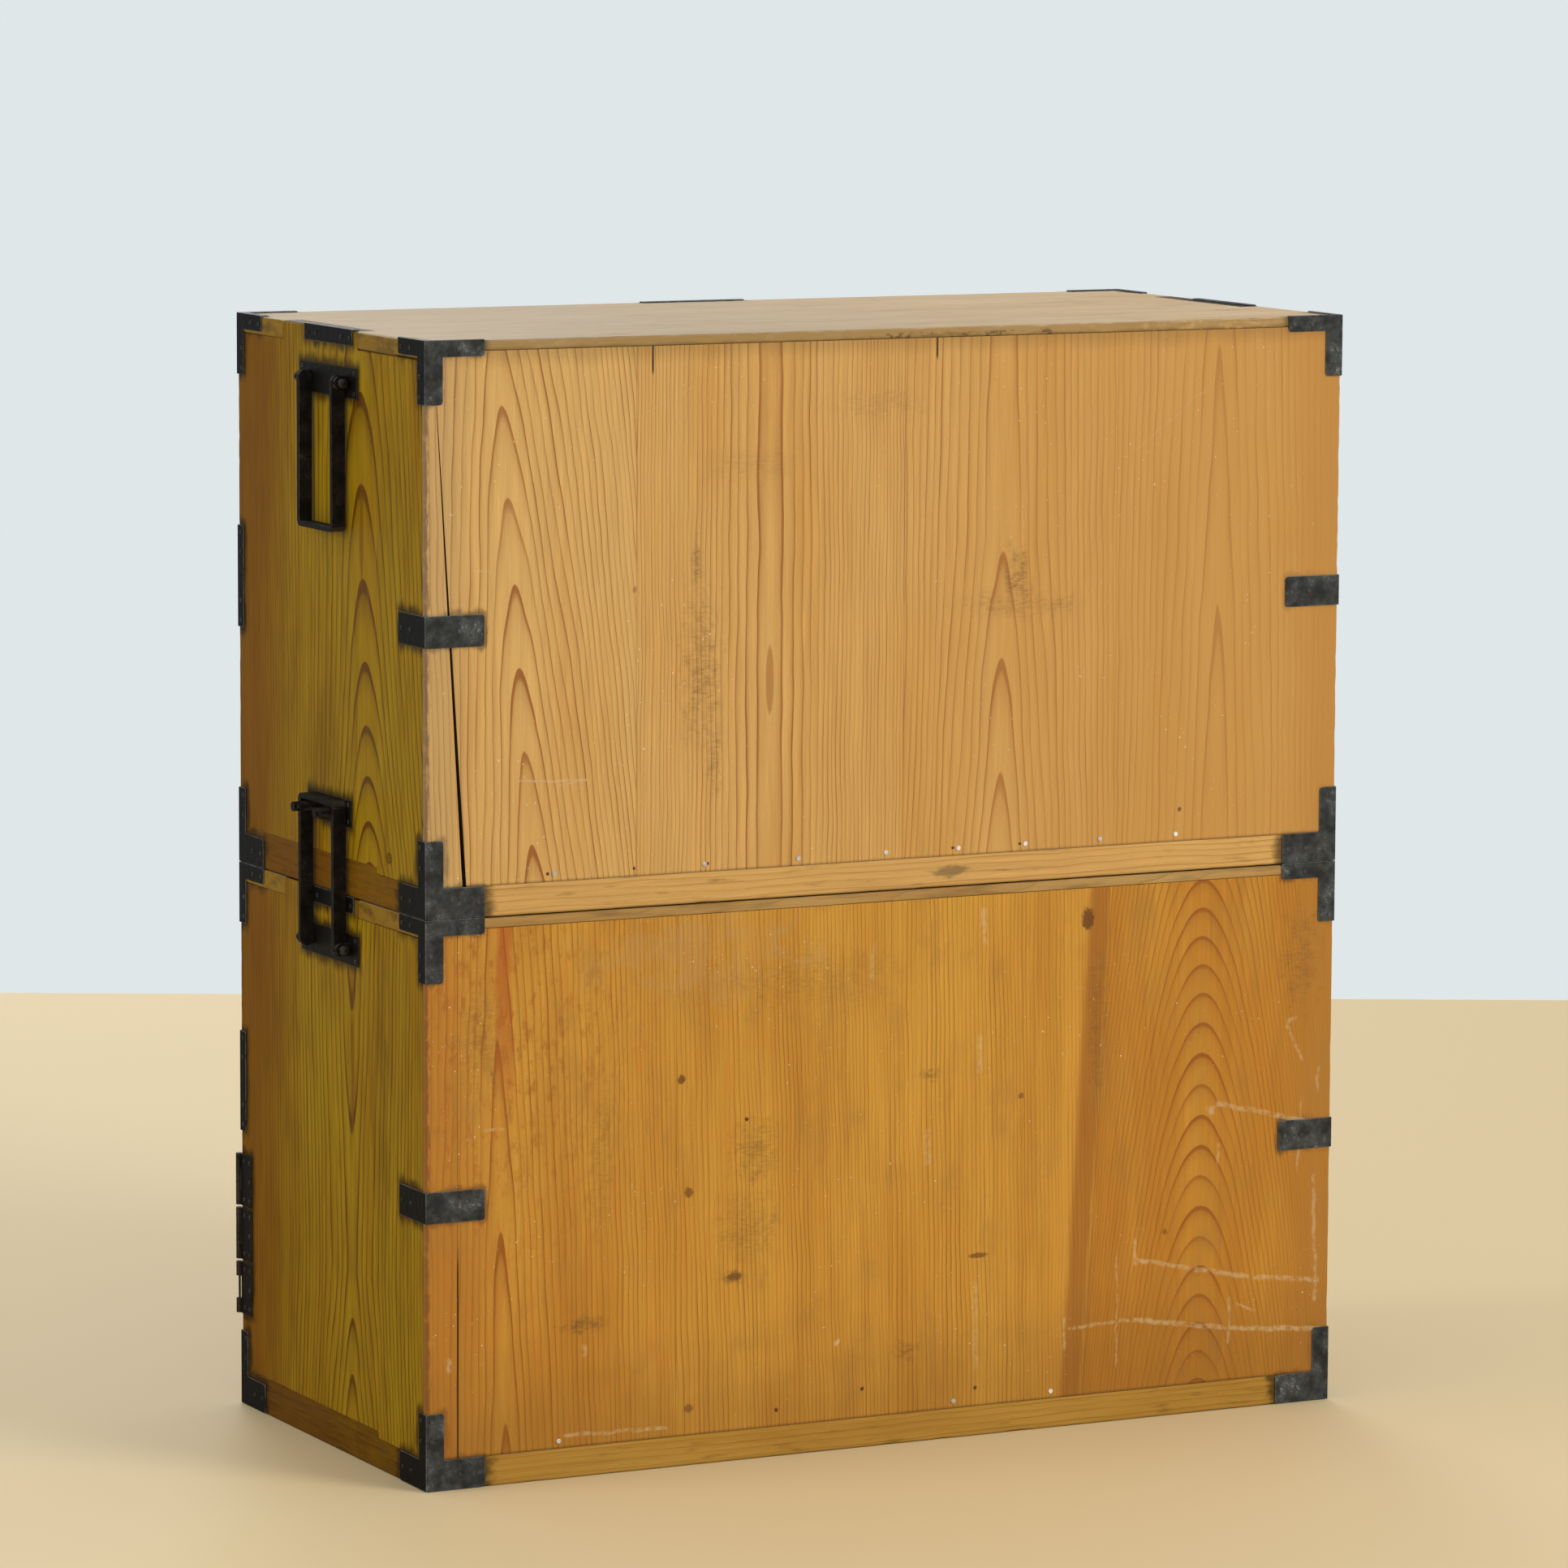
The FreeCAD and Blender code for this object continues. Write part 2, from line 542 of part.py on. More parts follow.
def back_boards(kind, section, edges):
    """Upright planks; each is (right foot, right head, left foot, left head) from the right edge."""
    foot = section["rail_top"]
    head = f"{section['top']} - dims.top_lip"
    planks = []
    for index, (right_foot, right_head, left_foot, left_head) in enumerate(edges, start=1):
        corners = [(f"{half_width} - ({left_foot})", foot), (f"{half_width} - ({right_foot})", foot),
                   (f"{half_width} - ({right_head})", head), (f"{half_width} - ({left_head})", head)]
        planks.append(panel(f"{kind}_plank_{index}", "xz", corners, inner_back, "dims.back_board"))
    holes = nail_shanks(f"{kind}_plank_hole", kind, section) + nail_holes([kind], ("back",))
    drilled = cut(f"{kind}_back_boards", together(f"{kind}_planks", planks), holes)
    node(f"{kind}_back_boards", drilled)


def seam(foot, head):
    """The two edges beside a seam: the end of one plank and the start of the next."""
    return (foot, head), (f"{foot} + dims.plank_gap", f"{head} + dims.plank_gap")


def upright_seam(place):
    """The two edges beside a seam that is as far from the right at its head as at its foot."""
    return seam(place, place)


def planks_from(seams):
    """Plank edges between a list of seams, from the right edge of the back to the left."""
    starts = [("0", "0")] + [after for before, after in seams]
    ends = [before for before, after in seams] + [("dims.case_width", "dims.case_width")]
    return [start + end for start, end in zip(starts, ends)]


# Hand-driven nails along the bottom board, each at a share of the width from the right edge.
NAIL_SHARES = {
    "upper": [0.134, 0.294, 0.395, 0.491, 0.571, 0.646, 0.730, 0.816],
    "lower": [0.139, 0.570, 0.680],
}


def nail_place(section, share):
    """Where a nail is: across the back, and at the middle of the bottom board's edge."""
    return (f"{half_width} - dims.case_width * {share}",
            f"{section['rail_top']} + dims.bottom_board / 2")


def nail_shanks(name, kind, section):
    """The nails' shanks, from the back planks' face into the bottom board."""
    return [rod(f"{name}_{index}", "y", (f"{back} - dims.nail_length", back),
                nail_place(section, share), "dims.nail_shank_radius")
            for index, share in enumerate(NAIL_SHARES[kind], start=1)]


def wooden_box(kind, section, edges):
    """One box of the chest: rails, bottom, sides, top and back."""
    base_rails(kind, section)
    floor_blank = block(f"{kind}_bottom_blank", full_inner, board_depth,
                        (section["rail_top"], section["floor"]))
    node(f"{kind}_bottom_board",
         cut(f"{kind}_bottom_board", floor_blank, nail_shanks(f"{kind}_bottom_hole", kind, section)))
    for side_name, side in SIDES.items():
        side_board(kind, section, side_name, side)
    top_board(kind, section)
    back_boards(kind, section, edges)


split = (("dims.upper_strip_foot", "dims.upper_strip_head"),
         ("dims.upper_strip_foot + dims.split_width", "dims.upper_strip_head + dims.plank_gap"))
wooden_box("upper", SECTIONS["upper"], planks_from([
    split, upright_seam("dims.upper_seam_one"), upright_seam("dims.upper_seam_two"),
    upright_seam("dims.upper_seam_three")]))
wooden_box("lower", SECTIONS["lower"], planks_from([
    upright_seam("dims.lower_strip_width"), upright_seam("dims.lower_seam_one"),
    upright_seam("dims.lower_seam_two"),
    seam("dims.lower_seam_foot", "dims.lower_seam_head")]))

nails = []
for kind, section in SECTIONS.items():
    shanks = nail_shanks(f"{kind}_nail", kind, section)
    for index, (share, shank) in enumerate(zip(NAIL_SHARES[kind], shanks), start=1):
        head = rod(f"{kind}_nail_head_{index}", "y", (back, f"{back} + dims.nail_head"),
                   nail_place(section, share), "dims.nail_radius")
        nails.append(joined(f"{kind}_whole_nail_{index}", [shank, head]))
node("back_nails", together("back_nails", nails))

# ------------------------------------------------------------------ shelves and the safe's upright
for kind, z_span in (("upper", (upper_shelf_under, upper_shelf_top)),
                     ("lower", (lower_shelf_under, long_floor))):
    blank = block(f"{kind}_shelf_blank", full_inner, board_depth, z_span)
    node(f"{kind}_shelf", cut(f"{kind}_shelf", blank, nail_holes([kind], ("front",))))
node("small_drawer_shelf", block("small_drawer_shelf", (f"-{inner_half}", partition_left), board_depth,
                                 (small_shelf_under, small_shelf_top)))
node("safe_shelf", block("safe_shelf", (safe_left, inner_half),
                         (f"{door_back} + dims.lock_case_depth + dims.safe_shelf_setback", inner_back),
                         about(door_middle, "dims.safe_shelf_board")))
upright = block("partition_blank", (partition_left, safe_left), board_depth,
                (lower_floor, lower_shelf_under))
mortise = block("mortise", (f"{safe_left} - dims.mortise_depth", safe_left),
                (f"{bolt_y[0]} - dims.mortise_play", f"{bolt_y[1]} + dims.mortise_play"),
                (f"{bolt_z[0]} - dims.mortise_play", f"{bolt_z[1]} + dims.mortise_play"))
node("safe_partition", cut("safe_partition", upright, [mortise]))


# ------------------------------------------------------------------ iron corners and straps
def outside(side, edge, reach, lap="dims.iron_sheet"):
    """A span along X or Y from lap beyond an edge to reach inside it."""
    return mirrored(side, f"{edge} - ({reach})", f"{edge} + {lap}")


def skin(side, edge):
    """A sheet's thickness on the outside of a face."""
    return mirrored(side, edge, f"{edge} + dims.iron_sheet")


def corner_iron(name, side, depth_side, edge_z, arm_height, upright_height, at_top):
    """A corner iron: an L on the front or back, an L on the side and, at the top, a folded lap."""
    depth = "dims.case_depth / 2"
    edge_arm = "dims.side_board - dims.iron_inset"
    if at_top:
        arm_z = (f"{edge_z} - ({arm_height})", edge_z)
        upright_z = (f"{edge_z} - ({upright_height})", edge_z)
    else:
        arm_z = (f"{edge_z} + dims.iron_lift", f"{edge_z} + {arm_height}")
        upright_z = (f"{edge_z} + dims.iron_lift", f"{edge_z} + {upright_height}")
    reach = "dims.corner_reach"
    pieces = [
        block(f"{name}_face_arm", outside(side, half_width, reach), skin(depth_side, depth), arm_z),
        block(f"{name}_face_upright", outside(side, half_width, edge_arm), skin(depth_side, depth),
              upright_z),
        block(f"{name}_side_arm", skin(side, half_width), outside(depth_side, depth, reach), arm_z),
        block(f"{name}_side_upright", skin(side, half_width), outside(depth_side, depth, "dims.side_arm"),
              upright_z),
    ]
    if at_top:
        tab = "dims.back_tab" if depth_side > 0 else "dims.front_tab"
        lap_z = (edge_z, f"{edge_z} + dims.iron_sheet")
        pieces.append(block(f"{name}_face_lap", outside(side, half_width, reach),
                            outside(depth_side, depth, tab), lap_z))
        pieces.append(block(f"{name}_side_lap", outside(side, half_width, tab),
                            outside(depth_side, depth, reach), lap_z))
    return joined(name, pieces)


def corner_irons(kind, section):
    """The eight corner irons of one box."""
    irons = []
    for side_name, side in SIDES.items():
        for end_name, depth_side in DEPTH_SIDES.items():
            irons.append(corner_iron(f"{kind}_{end_name}_{side_name}_head_iron", side, depth_side,
                                     section["top"], "dims.top_board - dims.iron_inset",
                                     "dims.corner_height", True))
            irons.append(corner_iron(f"{kind}_{end_name}_{side_name}_foot_iron", side, depth_side,
                                     section["base"], "dims.rail_height",
                                     "dims.foot_corner_height", False))
    node(f"{kind}_corner_irons",
         cut(f"{kind}_corner_irons", together(f"{kind}_iron_set", irons), nail_holes([kind])))


def back_strap(kind, section, side_name, side):
    """A strap round a rear corner at half the height of its box."""
    name = f"{kind}_{side_name}_back_strap"
    z_span = about(f"(({section['base']} + {section['top']}) / 2)", "dims.back_strap_height")
    depth = "dims.case_depth / 2"
    return joined(name, [
        block(f"{name}_face", outside(side, half_width, "dims.corner_reach"), skin(1, depth), z_span),
        block(f"{name}_side", skin(side, half_width), outside(1, depth, "dims.corner_reach"), z_span),
    ])


def front_strap(kind, shelf_z, side_name, side):
    """A strap round a front corner, with an arm along the front edge of the shelf."""
    name = f"{kind}_{side_name}_front_strap"
    depth = "dims.case_depth / 2"
    z_span = about(shelf_z, "dims.front_strap_height")
    arm_z = about(shelf_z, "dims.shelf_board - dims.iron_inset")
    return joined(name, [
        block(f"{name}_face", outside(side, half_width, "dims.side_board - dims.iron_inset"),
              skin(-1, depth), z_span),
        block(f"{name}_arm", outside(side, half_width, "dims.corner_reach"), skin(-1, depth), arm_z),
        block(f"{name}_side", skin(side, half_width), outside(-1, depth, "dims.strap_arm"), z_span),
    ])


def edge_straps(kind, section):
    """Straps folded over the middle of the side and front edges of a top board."""
    hang = (f"{section['top']} - (dims.top_board - dims.iron_inset)",
            f"{section['top']} + dims.iron_sheet")
    lap_z = (section["top"], f"{section['top']} + dims.iron_sheet")
    run = about("0", "dims.edge_strap_length")
    depth = "dims.case_depth / 2"
    straps = []
    for side_name, side in SIDES.items():
        name = f"{kind}_{side_name}_edge_strap"
        straps.append(joined(name, [
            block(f"{name}_hang", skin(side, half_width), run, hang),
            block(f"{name}_lap", outside(side, half_width, "dims.edge_strap_lap"), run, lap_z),
        ]))
    name = f"{kind}_front_edge_strap"
    straps.append(joined(name, [
        block(f"{name}_hang", run, skin(-1, depth), hang),
        block(f"{name}_lap", run, outside(-1, depth, "dims.edge_strap_lap"), lap_z),
    ]))
    return straps


corner_straps = []
top_straps = []
for kind, section in SECTIONS.items():
    corner_irons(kind, section)
    top_straps += edge_straps(kind, section)
    for side_name, side in SIDES.items():
        corner_straps.append(back_strap(kind, section, side_name, side))
        corner_straps.append(front_strap(kind, shelf_middles[kind], side_name, side))
node("corner_straps",
     cut("corner_straps", together("corner_strap_set", corner_straps), nail_holes(SECTIONS)))
node("edge_straps",
     cut("edge_straps", together("edge_strap_set", top_straps), nail_holes(SECTIONS, EDGE_FACES)))


# ------------------------------------------------------------------ side handles and their catches
def rounded_end(name, blank, end_z, radius):
    """A block whose two edges along X at one height are rounded."""
    doc.recompute()
    piece = doc.addObject("Part::Fillet", name)
    piece.Base = blank
    level = number(end_z)
    size = number(radius)
    edges = []
    for index, edge in enumerate(blank.Shape.Edges, start=1):
        limits = edge.BoundBox
        runs_along_x = limits.XLength > limits.YLength + limits.ZLength
        if runs_along_x and abs(limits.ZMin - level) < TOUCH:
            edges.append((index, size, size))
    piece.Edges = edges
    return piece


def side_handle(name, side, pivot_z, points_up):
    """A flat bar bent to a U, with rounded eyes on two pins along Y."""
    x_span = mirrored(side, handle_inner_x, handle_outer_x)
    pivot_x = sided(side, handle_pivot_x)
    if points_up:
        end_z = f"{pivot_z} + dims.handle_length"
        outer_z = (pivot_z, end_z)
        inner_z = (f"{pivot_z} - dims.handle_bar_width",
                   f"{pivot_z} + dims.handle_length - dims.handle_bar_thick")
    else:
        end_z = f"{pivot_z} - dims.handle_length"
        outer_z = (end_z, pivot_z)
        inner_z = (f"{pivot_z} - dims.handle_length + dims.handle_bar_thick",
                   f"{pivot_z} + dims.handle_bar_width")
    outer_y = (f"-{handle_half}", handle_half)
    inner_y = (f"-{handle_half} + dims.handle_bar_thick", f"{handle_half} - dims.handle_bar_thick")
    blank = block(f"{name}_blank", x_span, outer_y, outer_z)
    rounded = rounded_end(f"{name}_rounded", blank, end_z, "dims.handle_corner")
    eyes = rod(f"{name}_eyes", "y", outer_y, (pivot_x, pivot_z), "dims.handle_bar_width / 2")
    whole = joined(f"{name}_whole", [rounded, eyes])
    gap = block(f"{name}_gap", mirrored(side, f"{handle_inner_x} - dims.handle_gap / 2",
                                        f"{handle_outer_x} + dims.handle_gap"), inner_y, inner_z)
    hole = rod(f"{name}_hole", "y", outer_y, (pivot_x, pivot_z), "dims.handle_pin_radius + dims.pin_play")
    node(name, cut(name, whole, [gap, hole]))


def handle_fixings(name, side, pivot_z):
    """The plate, two lugs and two ball-headed pins of a side handle."""
    pivot_x = sided(side, handle_pivot_x)
    plate_blank = block(f"{name}_plate_blank", skin(side, half_width),
                        about("0", "dims.handle_plate_length"), about(pivot_z, "dims.handle_plate_height"))
    plate = cut(f"{name}_plate", plate_blank, handle_shanks(f"{name}_plate_hole", side, pivot_z))
    lugs = []
    pins = []
    for end, shank in zip((-1, 1), handle_shanks(f"{name}_lug", side, pivot_z)):
        lug_y = mirrored(end, lug_inner_y, lug_outer_y)
        stem_x = mirrored(side, f"{half_width} + dims.iron_sheet", handle_pivot_x)
        stem = block(f"{name}_{end}_stem", stem_x, lug_y, about(pivot_z, "dims.lug_radius * 2"))
        nose = rod(f"{name}_{end}_nose", "y", lug_y, (pivot_x, pivot_z), "dims.lug_radius")
        lug = joined(f"{name}_{end}_lug", [stem, nose, shank])
        bore = rod(f"{name}_{end}_bore", "y", lug_y, (pivot_x, pivot_z), "dims.handle_pin_radius")
        lugs.append(cut(f"{name}_{end}_bored_lug", lug, [bore]))
        pin_y = mirrored(end, f"{handle_half} - dims.handle_bar_thick - dims.lug_play",
                         f"{lug_outer_y} + dims.ball_radius")
        pin = rod(f"{name}_{end}_pin", "y", pin_y, (pivot_x, pivot_z), "dims.handle_pin_radius")
        head = ball(f"{name}_{end}_ball",
                    (pivot_x, sided(end, f"{lug_outer_y} + dims.ball_radius"), pivot_z), "dims.ball_radius")
        pins.append(joined(f"{name}_{end}_whole_pin", [pin, head]))
    return plate, lugs, pins


handle_plates = []
handle_lugs = []
handle_pins = []
for kind, section in SECTIONS.items():
    for side_name, side in SIDES.items():
        side_handle(f"{kind}_{side_name}_handle", side, section["pivot"], kind == "lower")
        plate, lugs, pins = handle_fixings(f"{kind}_{side_name}_fixing", side, section["pivot"])
        handle_plates.append(plate)
        handle_lugs += lugs
        handle_pins += pins
node("side_handle_plates", cut("side_handle_plates", together("handle_plate_set", handle_plates),
                               nail_holes(SECTIONS, SIDES)))
node("side_handle_lugs", together("side_handle_lugs", handle_lugs))
node("side_handle_pins", together("side_handle_pins", handle_pins))

catches = []
for side_name, side in SIDES.items():
    name = f"{side_name}_catch"
    plate_blank = block(f"{name}_blank", skin(side, half_width), about("0", "dims.catch_length"),
                        about(peg_z, "dims.catch_height"))
    plate_holes = peg_shanks(f"{name}_hole", side) + nail_holes(["upper"], [side_name])
    catches.append(cut(f"{name}_plate", plate_blank, plate_holes))
    for end, shank in zip((-1, 1), peg_shanks(name, side)):
        peg_y = sided(end, "dims.peg_spacing / 2")
        stem = rod(f"{name}_{end}_stem", "x",
                   mirrored(side, f"{half_width} + dims.iron_sheet", f"{half_width} + dims.peg_reach"),
                   (peg_y, peg_z), "dims.peg_radius")
        eye_x = sided(side, f"{half_width} + dims.peg_reach - dims.peg_eye_inset")
        eye = rod(f"{name}_{end}_eye", "y", about(peg_y, "dims.peg_radius * 4"), (eye_x, peg_z),
                  "dims.peg_eye_radius")
        catches.append(cut(f"{name}_{end}_peg", joined(f"{name}_{end}_solid", [stem, shank]), [eye]))
node("handle_catches", together("handle_catches", catches))


# ------------------------------------------------------------------ drawers and their pulls
def quarter_bend(name, centre, turn):
    """A quarter ring in the XZ plane, turned about Y."""
    piece = doc.addObject("Part::Torus", name)
    piece.setExpression("Radius1", "dims.pull_corner")
    piece.setExpression("Radius2", "dims.pull_bar_radius")
    piece.Angle3 = 90
    upright = FreeCAD.Rotation(FreeCAD.Vector(1, 0, 0), 90)
    piece.Placement = FreeCAD.Placement(ORIGIN, FreeCAD.Rotation(FreeCAD.Vector(0, 1, 0), turn) * upright)
    for axis, place in zip("xyz", centre):
        piece.setExpression(f"Placement.Base.{axis}", place)
    return piece


def pull(name, middle_x, pivot_z):
    """A pull's plate and two posts, and the holes for them; its bail is a node of its own."""
    plate_y = (f"{front} - dims.iron_sheet", front)
    post_face = f"({front} - dims.iron_sheet)"
    pivot_y = f"({post_face} - dims.pull_axis_reach)"
    shank_y = (post_face, f"{door_back} + dims.clinch_height")
    hole_y = (post_face, door_back)
    holes = []
    plate_blank = block(f"{name}_plate_blank", about(middle_x, "dims.pull_plate_length"), plate_y,
                        about(pivot_z, "dims.pull_plate_height"))
    posts = []
    for end in (-1, 1):
        post_x = f"({middle_x} + {end} * dims.post_spacing / 2)"
        holes.append(rod(f"{name}_{end}_hole", "y", hole_y, (post_x, pivot_z), "dims.post_shank_radius"))
        solid = joined(f"{name}_{end}_post", [
            rod(f"{name}_{end}_stem", "y", (f"{post_face} - dims.post_reach", post_face),
                (post_x, pivot_z), "dims.post_radius"),
            rod(f"{name}_{end}_shank", "y", shank_y, (post_x, pivot_z), "dims.post_shank_radius"),
            rod(f"{name}_{end}_clinch", "y", (door_back, f"{door_back} + dims.clinch_height"),
                (post_x, pivot_z), "dims.post_radius"),
        ])
        bore = rod(f"{name}_{end}_bore", "x", about(post_x, "dims.post_radius * 3"), (pivot_y, pivot_z),
                   "dims.pull_pin_radius + dims.pin_play")
        posts.append(cut(f"{name}_{end}_bored_post", solid, [bore]))
    plate = cut(f"{name}_plate", plate_blank, holes)

    leg = "(dims.post_spacing / 2 + dims.post_radius + dims.lug_play + dims.pull_bar_radius)"
    pin_end = "(dims.post_spacing / 2 - dims.post_radius - dims.lug_play)"
    cross_z = f"{pivot_z} - dims.pull_drop"
    bend_z = f"({pivot_z} - dims.pull_drop + dims.pull_corner)"
    bar = [rod(f"{name}_cross", "x", (f"{middle_x} - {leg} + dims.pull_corner",
                                      f"{middle_x} + {leg} - dims.pull_corner"),
               (pivot_y, cross_z), "dims.pull_bar_radius")]
    for end, turn in ((-1, 180), (1, 90)):
        leg_x = f"({middle_x} + {end} * {leg})"
        inner_x = f"({middle_x} + {end} * {pin_end})"
        turned_x = (inner_x, leg_x) if end > 0 else (leg_x, inner_x)
        bar.append(rod(f"{name}_{end}_leg", "z", (bend_z, pivot_z), (leg_x, pivot_y),
                       "dims.pull_bar_radius"))
        bar.append(rod(f"{name}_{end}_turned_end", "x", turned_x, (pivot_y, pivot_z),
                       "dims.pull_pin_radius"))
        bar.append(ball(f"{name}_{end}_shoulder", (leg_x, pivot_y, pivot_z), "dims.pull_bar_radius"))
        bar.append(quarter_bend(f"{name}_{end}_bend",
                                (f"{leg_x} - {end} * dims.pull_corner", pivot_y, bend_z), turn))
    node(f"{name}_bail", joined(f"{name}_bail", bar))
    return [plate] + posts, holes


def drawer(name, x_span, z_span, pull_places):
    """A drawer in an opening: its front, its box of four boards and its pulls."""
    left = f"({x_span[0]} + dims.side_play)"
    right = f"({x_span[1]} - dims.side_play)"
    foot = f"({z_span[0]} + dims.seat_play)"
    head = f"({z_span[1]} - dims.top_play)"
    rear = f"({inner_back} - dims.rear_play)"
    wall_z = (f"{foot} + dims.drawer_floor", f"{head} - dims.drawer_step")
    depth = (door_back, rear)
    fittings = []
    holes = []
    for label, place in pull_places:
        pieces, post_holes = pull(f"{name}{label}_pull", place, f"(({foot} + {head}) / 2)")
        fittings += pieces
        holes += post_holes
    front_blank = block(f"{name}_front_blank", (left, right), (front, door_back), (foot, head))
    node(f"{name}_front", cut(f"{name}_front", front_blank, holes))
    node(f"{name}_box", together(f"{name}_box", [
        block(f"{name}_left_wall", (left, f"{left} + dims.drawer_wall"), depth, wall_z),
        block(f"{name}_right_wall", (f"{right} - dims.drawer_wall", right), depth, wall_z),
        block(f"{name}_back_wall", (f"{left} + dims.drawer_wall", f"{right} - dims.drawer_wall"),
              (f"{rear} - dims.drawer_wall", rear), wall_z),
        block(f"{name}_floor", (left, right), depth, (foot, f"{foot} + dims.drawer_floor")),
    ]))
    node(f"{name}_fittings", together(f"{name}_fittings", fittings))


pair_of_pulls = [("_left", "(-dims.pull_spacing / 2)"), ("_right", "(dims.pull_spacing / 2)")]
drawer("top_drawer", full_inner, (upper_shelf_top, upper_ceiling), pair_of_pulls)
drawer("second_drawer", full_inner, (upper_floor, upper_shelf_under), pair_of_pulls)
drawer("long_drawer", full_inner, (long_floor, lower_ceiling), pair_of_pulls)
small_span = (f"-{inner_half}", partition_left)
small_middle = [("", f"((-{inner_half} + {partition_left}) / 2)")]
drawer("small_drawer_high", small_span, (small_shelf_top, lower_shelf_under), small_middle)
drawer("small_drawer_low", small_span, (lower_floor, small_shelf_under), small_middle)

# ------------------------------------------------------------------ hinges of the safe door
pin_x = f"({half_width} + dims.iron_sheet)"
pin_y = f"({front} - dims.knuckle_reach)"
case_leaves = []
hinge_pins = []
door_leaves = []
for index in range(HINGE_COUNT):
    name = f"hinge_{index}"
    foot, head = hinge_span(index)
    leaf = [block(f"{name}_side_leaf", skin(1, half_width),
                  (f"{front} + dims.knuckle_play", f"{front} + dims.hinge_depth"), (foot, head))]
    for end, z_span in (("foot", (foot, f"{foot} + dims.knuckle_height")),
                        ("head", (f"{head} - dims.knuckle_height", head))):
        leaf.append(block(f"{name}_{end}_web", skin(1, half_width),
                          (pin_y, f"{front} + dims.knuckle_play"), z_span))
        leaf.append(rod(f"{name}_{end}_knuckle", "z", z_span, (pin_x, pin_y), "dims.knuckle_radius"))
    bore = rod(f"{name}_bore", "z", (foot, head), (pin_x, pin_y), "dims.hinge_pin_radius")
    case_leaves.append(cut(f"{name}_case_leaf", joined(f"{name}_case_solid", leaf), [bore]))
    hinge_pins.append(rod(f"{name}_pin", "z", (foot, head), (pin_x, pin_y), "dims.hinge_pin_radius"))
    if index >= BARE_HINGES:
        web_z = (f"{foot} + dims.knuckle_height + dims.knuckle_play",
                 f"{head} - dims.knuckle_height - dims.knuckle_play")
        leaf_y = (f"{front} - dims.iron_sheet", front)
        shoulder = f"({half_width} - dims.iron_inset)"
        solid = joined(f"{name}_door_solid", [
            block(f"{name}_door_plate", (f"{door_right} - dims.door_leaf_length", shoulder), leaf_y,
                  (foot, head)),
            block(f"{name}_door_web", (shoulder, pin_x), leaf_y, web_z),
            rod(f"{name}_door_knuckle", "z", web_z, (pin_x, pin_y), "dims.knuckle_radius"),
        ])
        door_bore = rod(f"{name}_door_bore", "z", web_z, (pin_x, pin_y),
                        "dims.hinge_pin_radius + dims.pin_play")
        door_leaves.append(cut(f"{name}_door_leaf", solid, [door_bore]))
node("hinge_case_leaves", cut("hinge_case_leaves", together("case_leaf_set", case_leaves),
                              nail_holes(["lower"], ["right"])))
node("hinge_pins", together("hinge_pins", hinge_pins))
node("safe_door_leaves", cut("safe_door_leaves", together("door_leaf_set", door_leaves),
                             nail_holes(["door"], ["front"])))

# ------------------------------------------------------------------ the safe door and its lock
keyhole_x = f"({door_left} + dims.lock_plate_inset + dims.lock_plate_width / 2)"
keyhole_z = f"({door_middle} - dims.knob_offset / 2)"
knob_z = f"({door_middle} + dims.knob_offset / 2)"
key_way = (f"{front} - dims.iron_sheet", door_back)
neck_y = (f"{front} - dims.knob_reach", door_back)


def keyhole(name):
    """The hole for the key, through the plate and the door."""
    return rod(f"{name}_keyhole", "y", key_way, (keyhole_x, keyhole_z), "dims.keyhole_radius")


def knob_neck(name, y_span):
    """The knob's neck, or the hole that it fills."""
    return rod(f"{name}_neck", "y", y_span, (keyhole_x, knob_z), "dims.knob_neck")


door_blank = block("safe_door_blank", (door_left, door_right), (front, door_back), door_z)
door_holes = [keyhole("door"), knob_neck("door", key_way)] + nail_holes(["door"], ["front"])
node("safe_door", cut("safe_door", door_blank, door_holes))
lock_plate = cut("lock_plate", block("lock_plate_blank", about(keyhole_x, "dims.lock_plate_width"),
                                     (f"{front} - dims.iron_sheet", front),
                                     about(door_middle, "dims.lock_plate_height")),
                 [keyhole("plate"), knob_neck("plate", key_way)])
knob = joined("knob", [knob_neck("knob", neck_y),
                       ball("knob_ball", (keyhole_x, f"{front} - dims.knob_reach", knob_z),
                            "dims.knob_radius")])
case_left = f"({door_left} + dims.lock_setback)"
channel = block("bolt_channel", (case_left, f"{case_left} + dims.bolt_length + dims.bolt_play"),
                (f"{bolt_y[0]} - dims.bolt_play", f"{bolt_y[1]} + dims.bolt_play"),
                (f"{bolt_z[0]} - dims.bolt_play", f"{bolt_z[1]} + dims.bolt_play"))
lock_case = cut("lock_case", block("lock_case_blank", (case_left, f"{case_left} + dims.lock_case_length"),
                                   (door_back, f"{door_back} + dims.lock_case_depth"),
                                   about(door_middle, "dims.lock_case_height")), [channel])
node("safe_door_fittings",
     together("safe_door_fittings", [lock_plate, knob, lock_case] + iron_nails["door"]))
node("safe_door_bolt", block("safe_door_bolt", (case_left, f"{case_left} + dims.bolt_length"),
                             bolt_y, bolt_z))

# ------------------------------------------------------------------ checks and files
doc.recompute()
for item in doc.Objects:
    if "Invalid" in item.State or "Error" in item.State:
        raise RuntimeError(f"{item.Name} failed: {item.State}")
for piece in nodes:
    if piece.Shape.isNull() or not piece.Shape.isValid() or not piece.Shape.Solids:
        raise RuntimeError(f"{piece.Label} has no valid solid")
os.makedirs("parts", exist_ok=True)
for piece in nodes:
    piece.Shape.exportStep(f"parts/{piece.Label}.step")
print(f"{len(nodes)} nodes written, {sum(len(piece.Shape.Solids) for piece in nodes)} solids")
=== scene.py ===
import json
import math

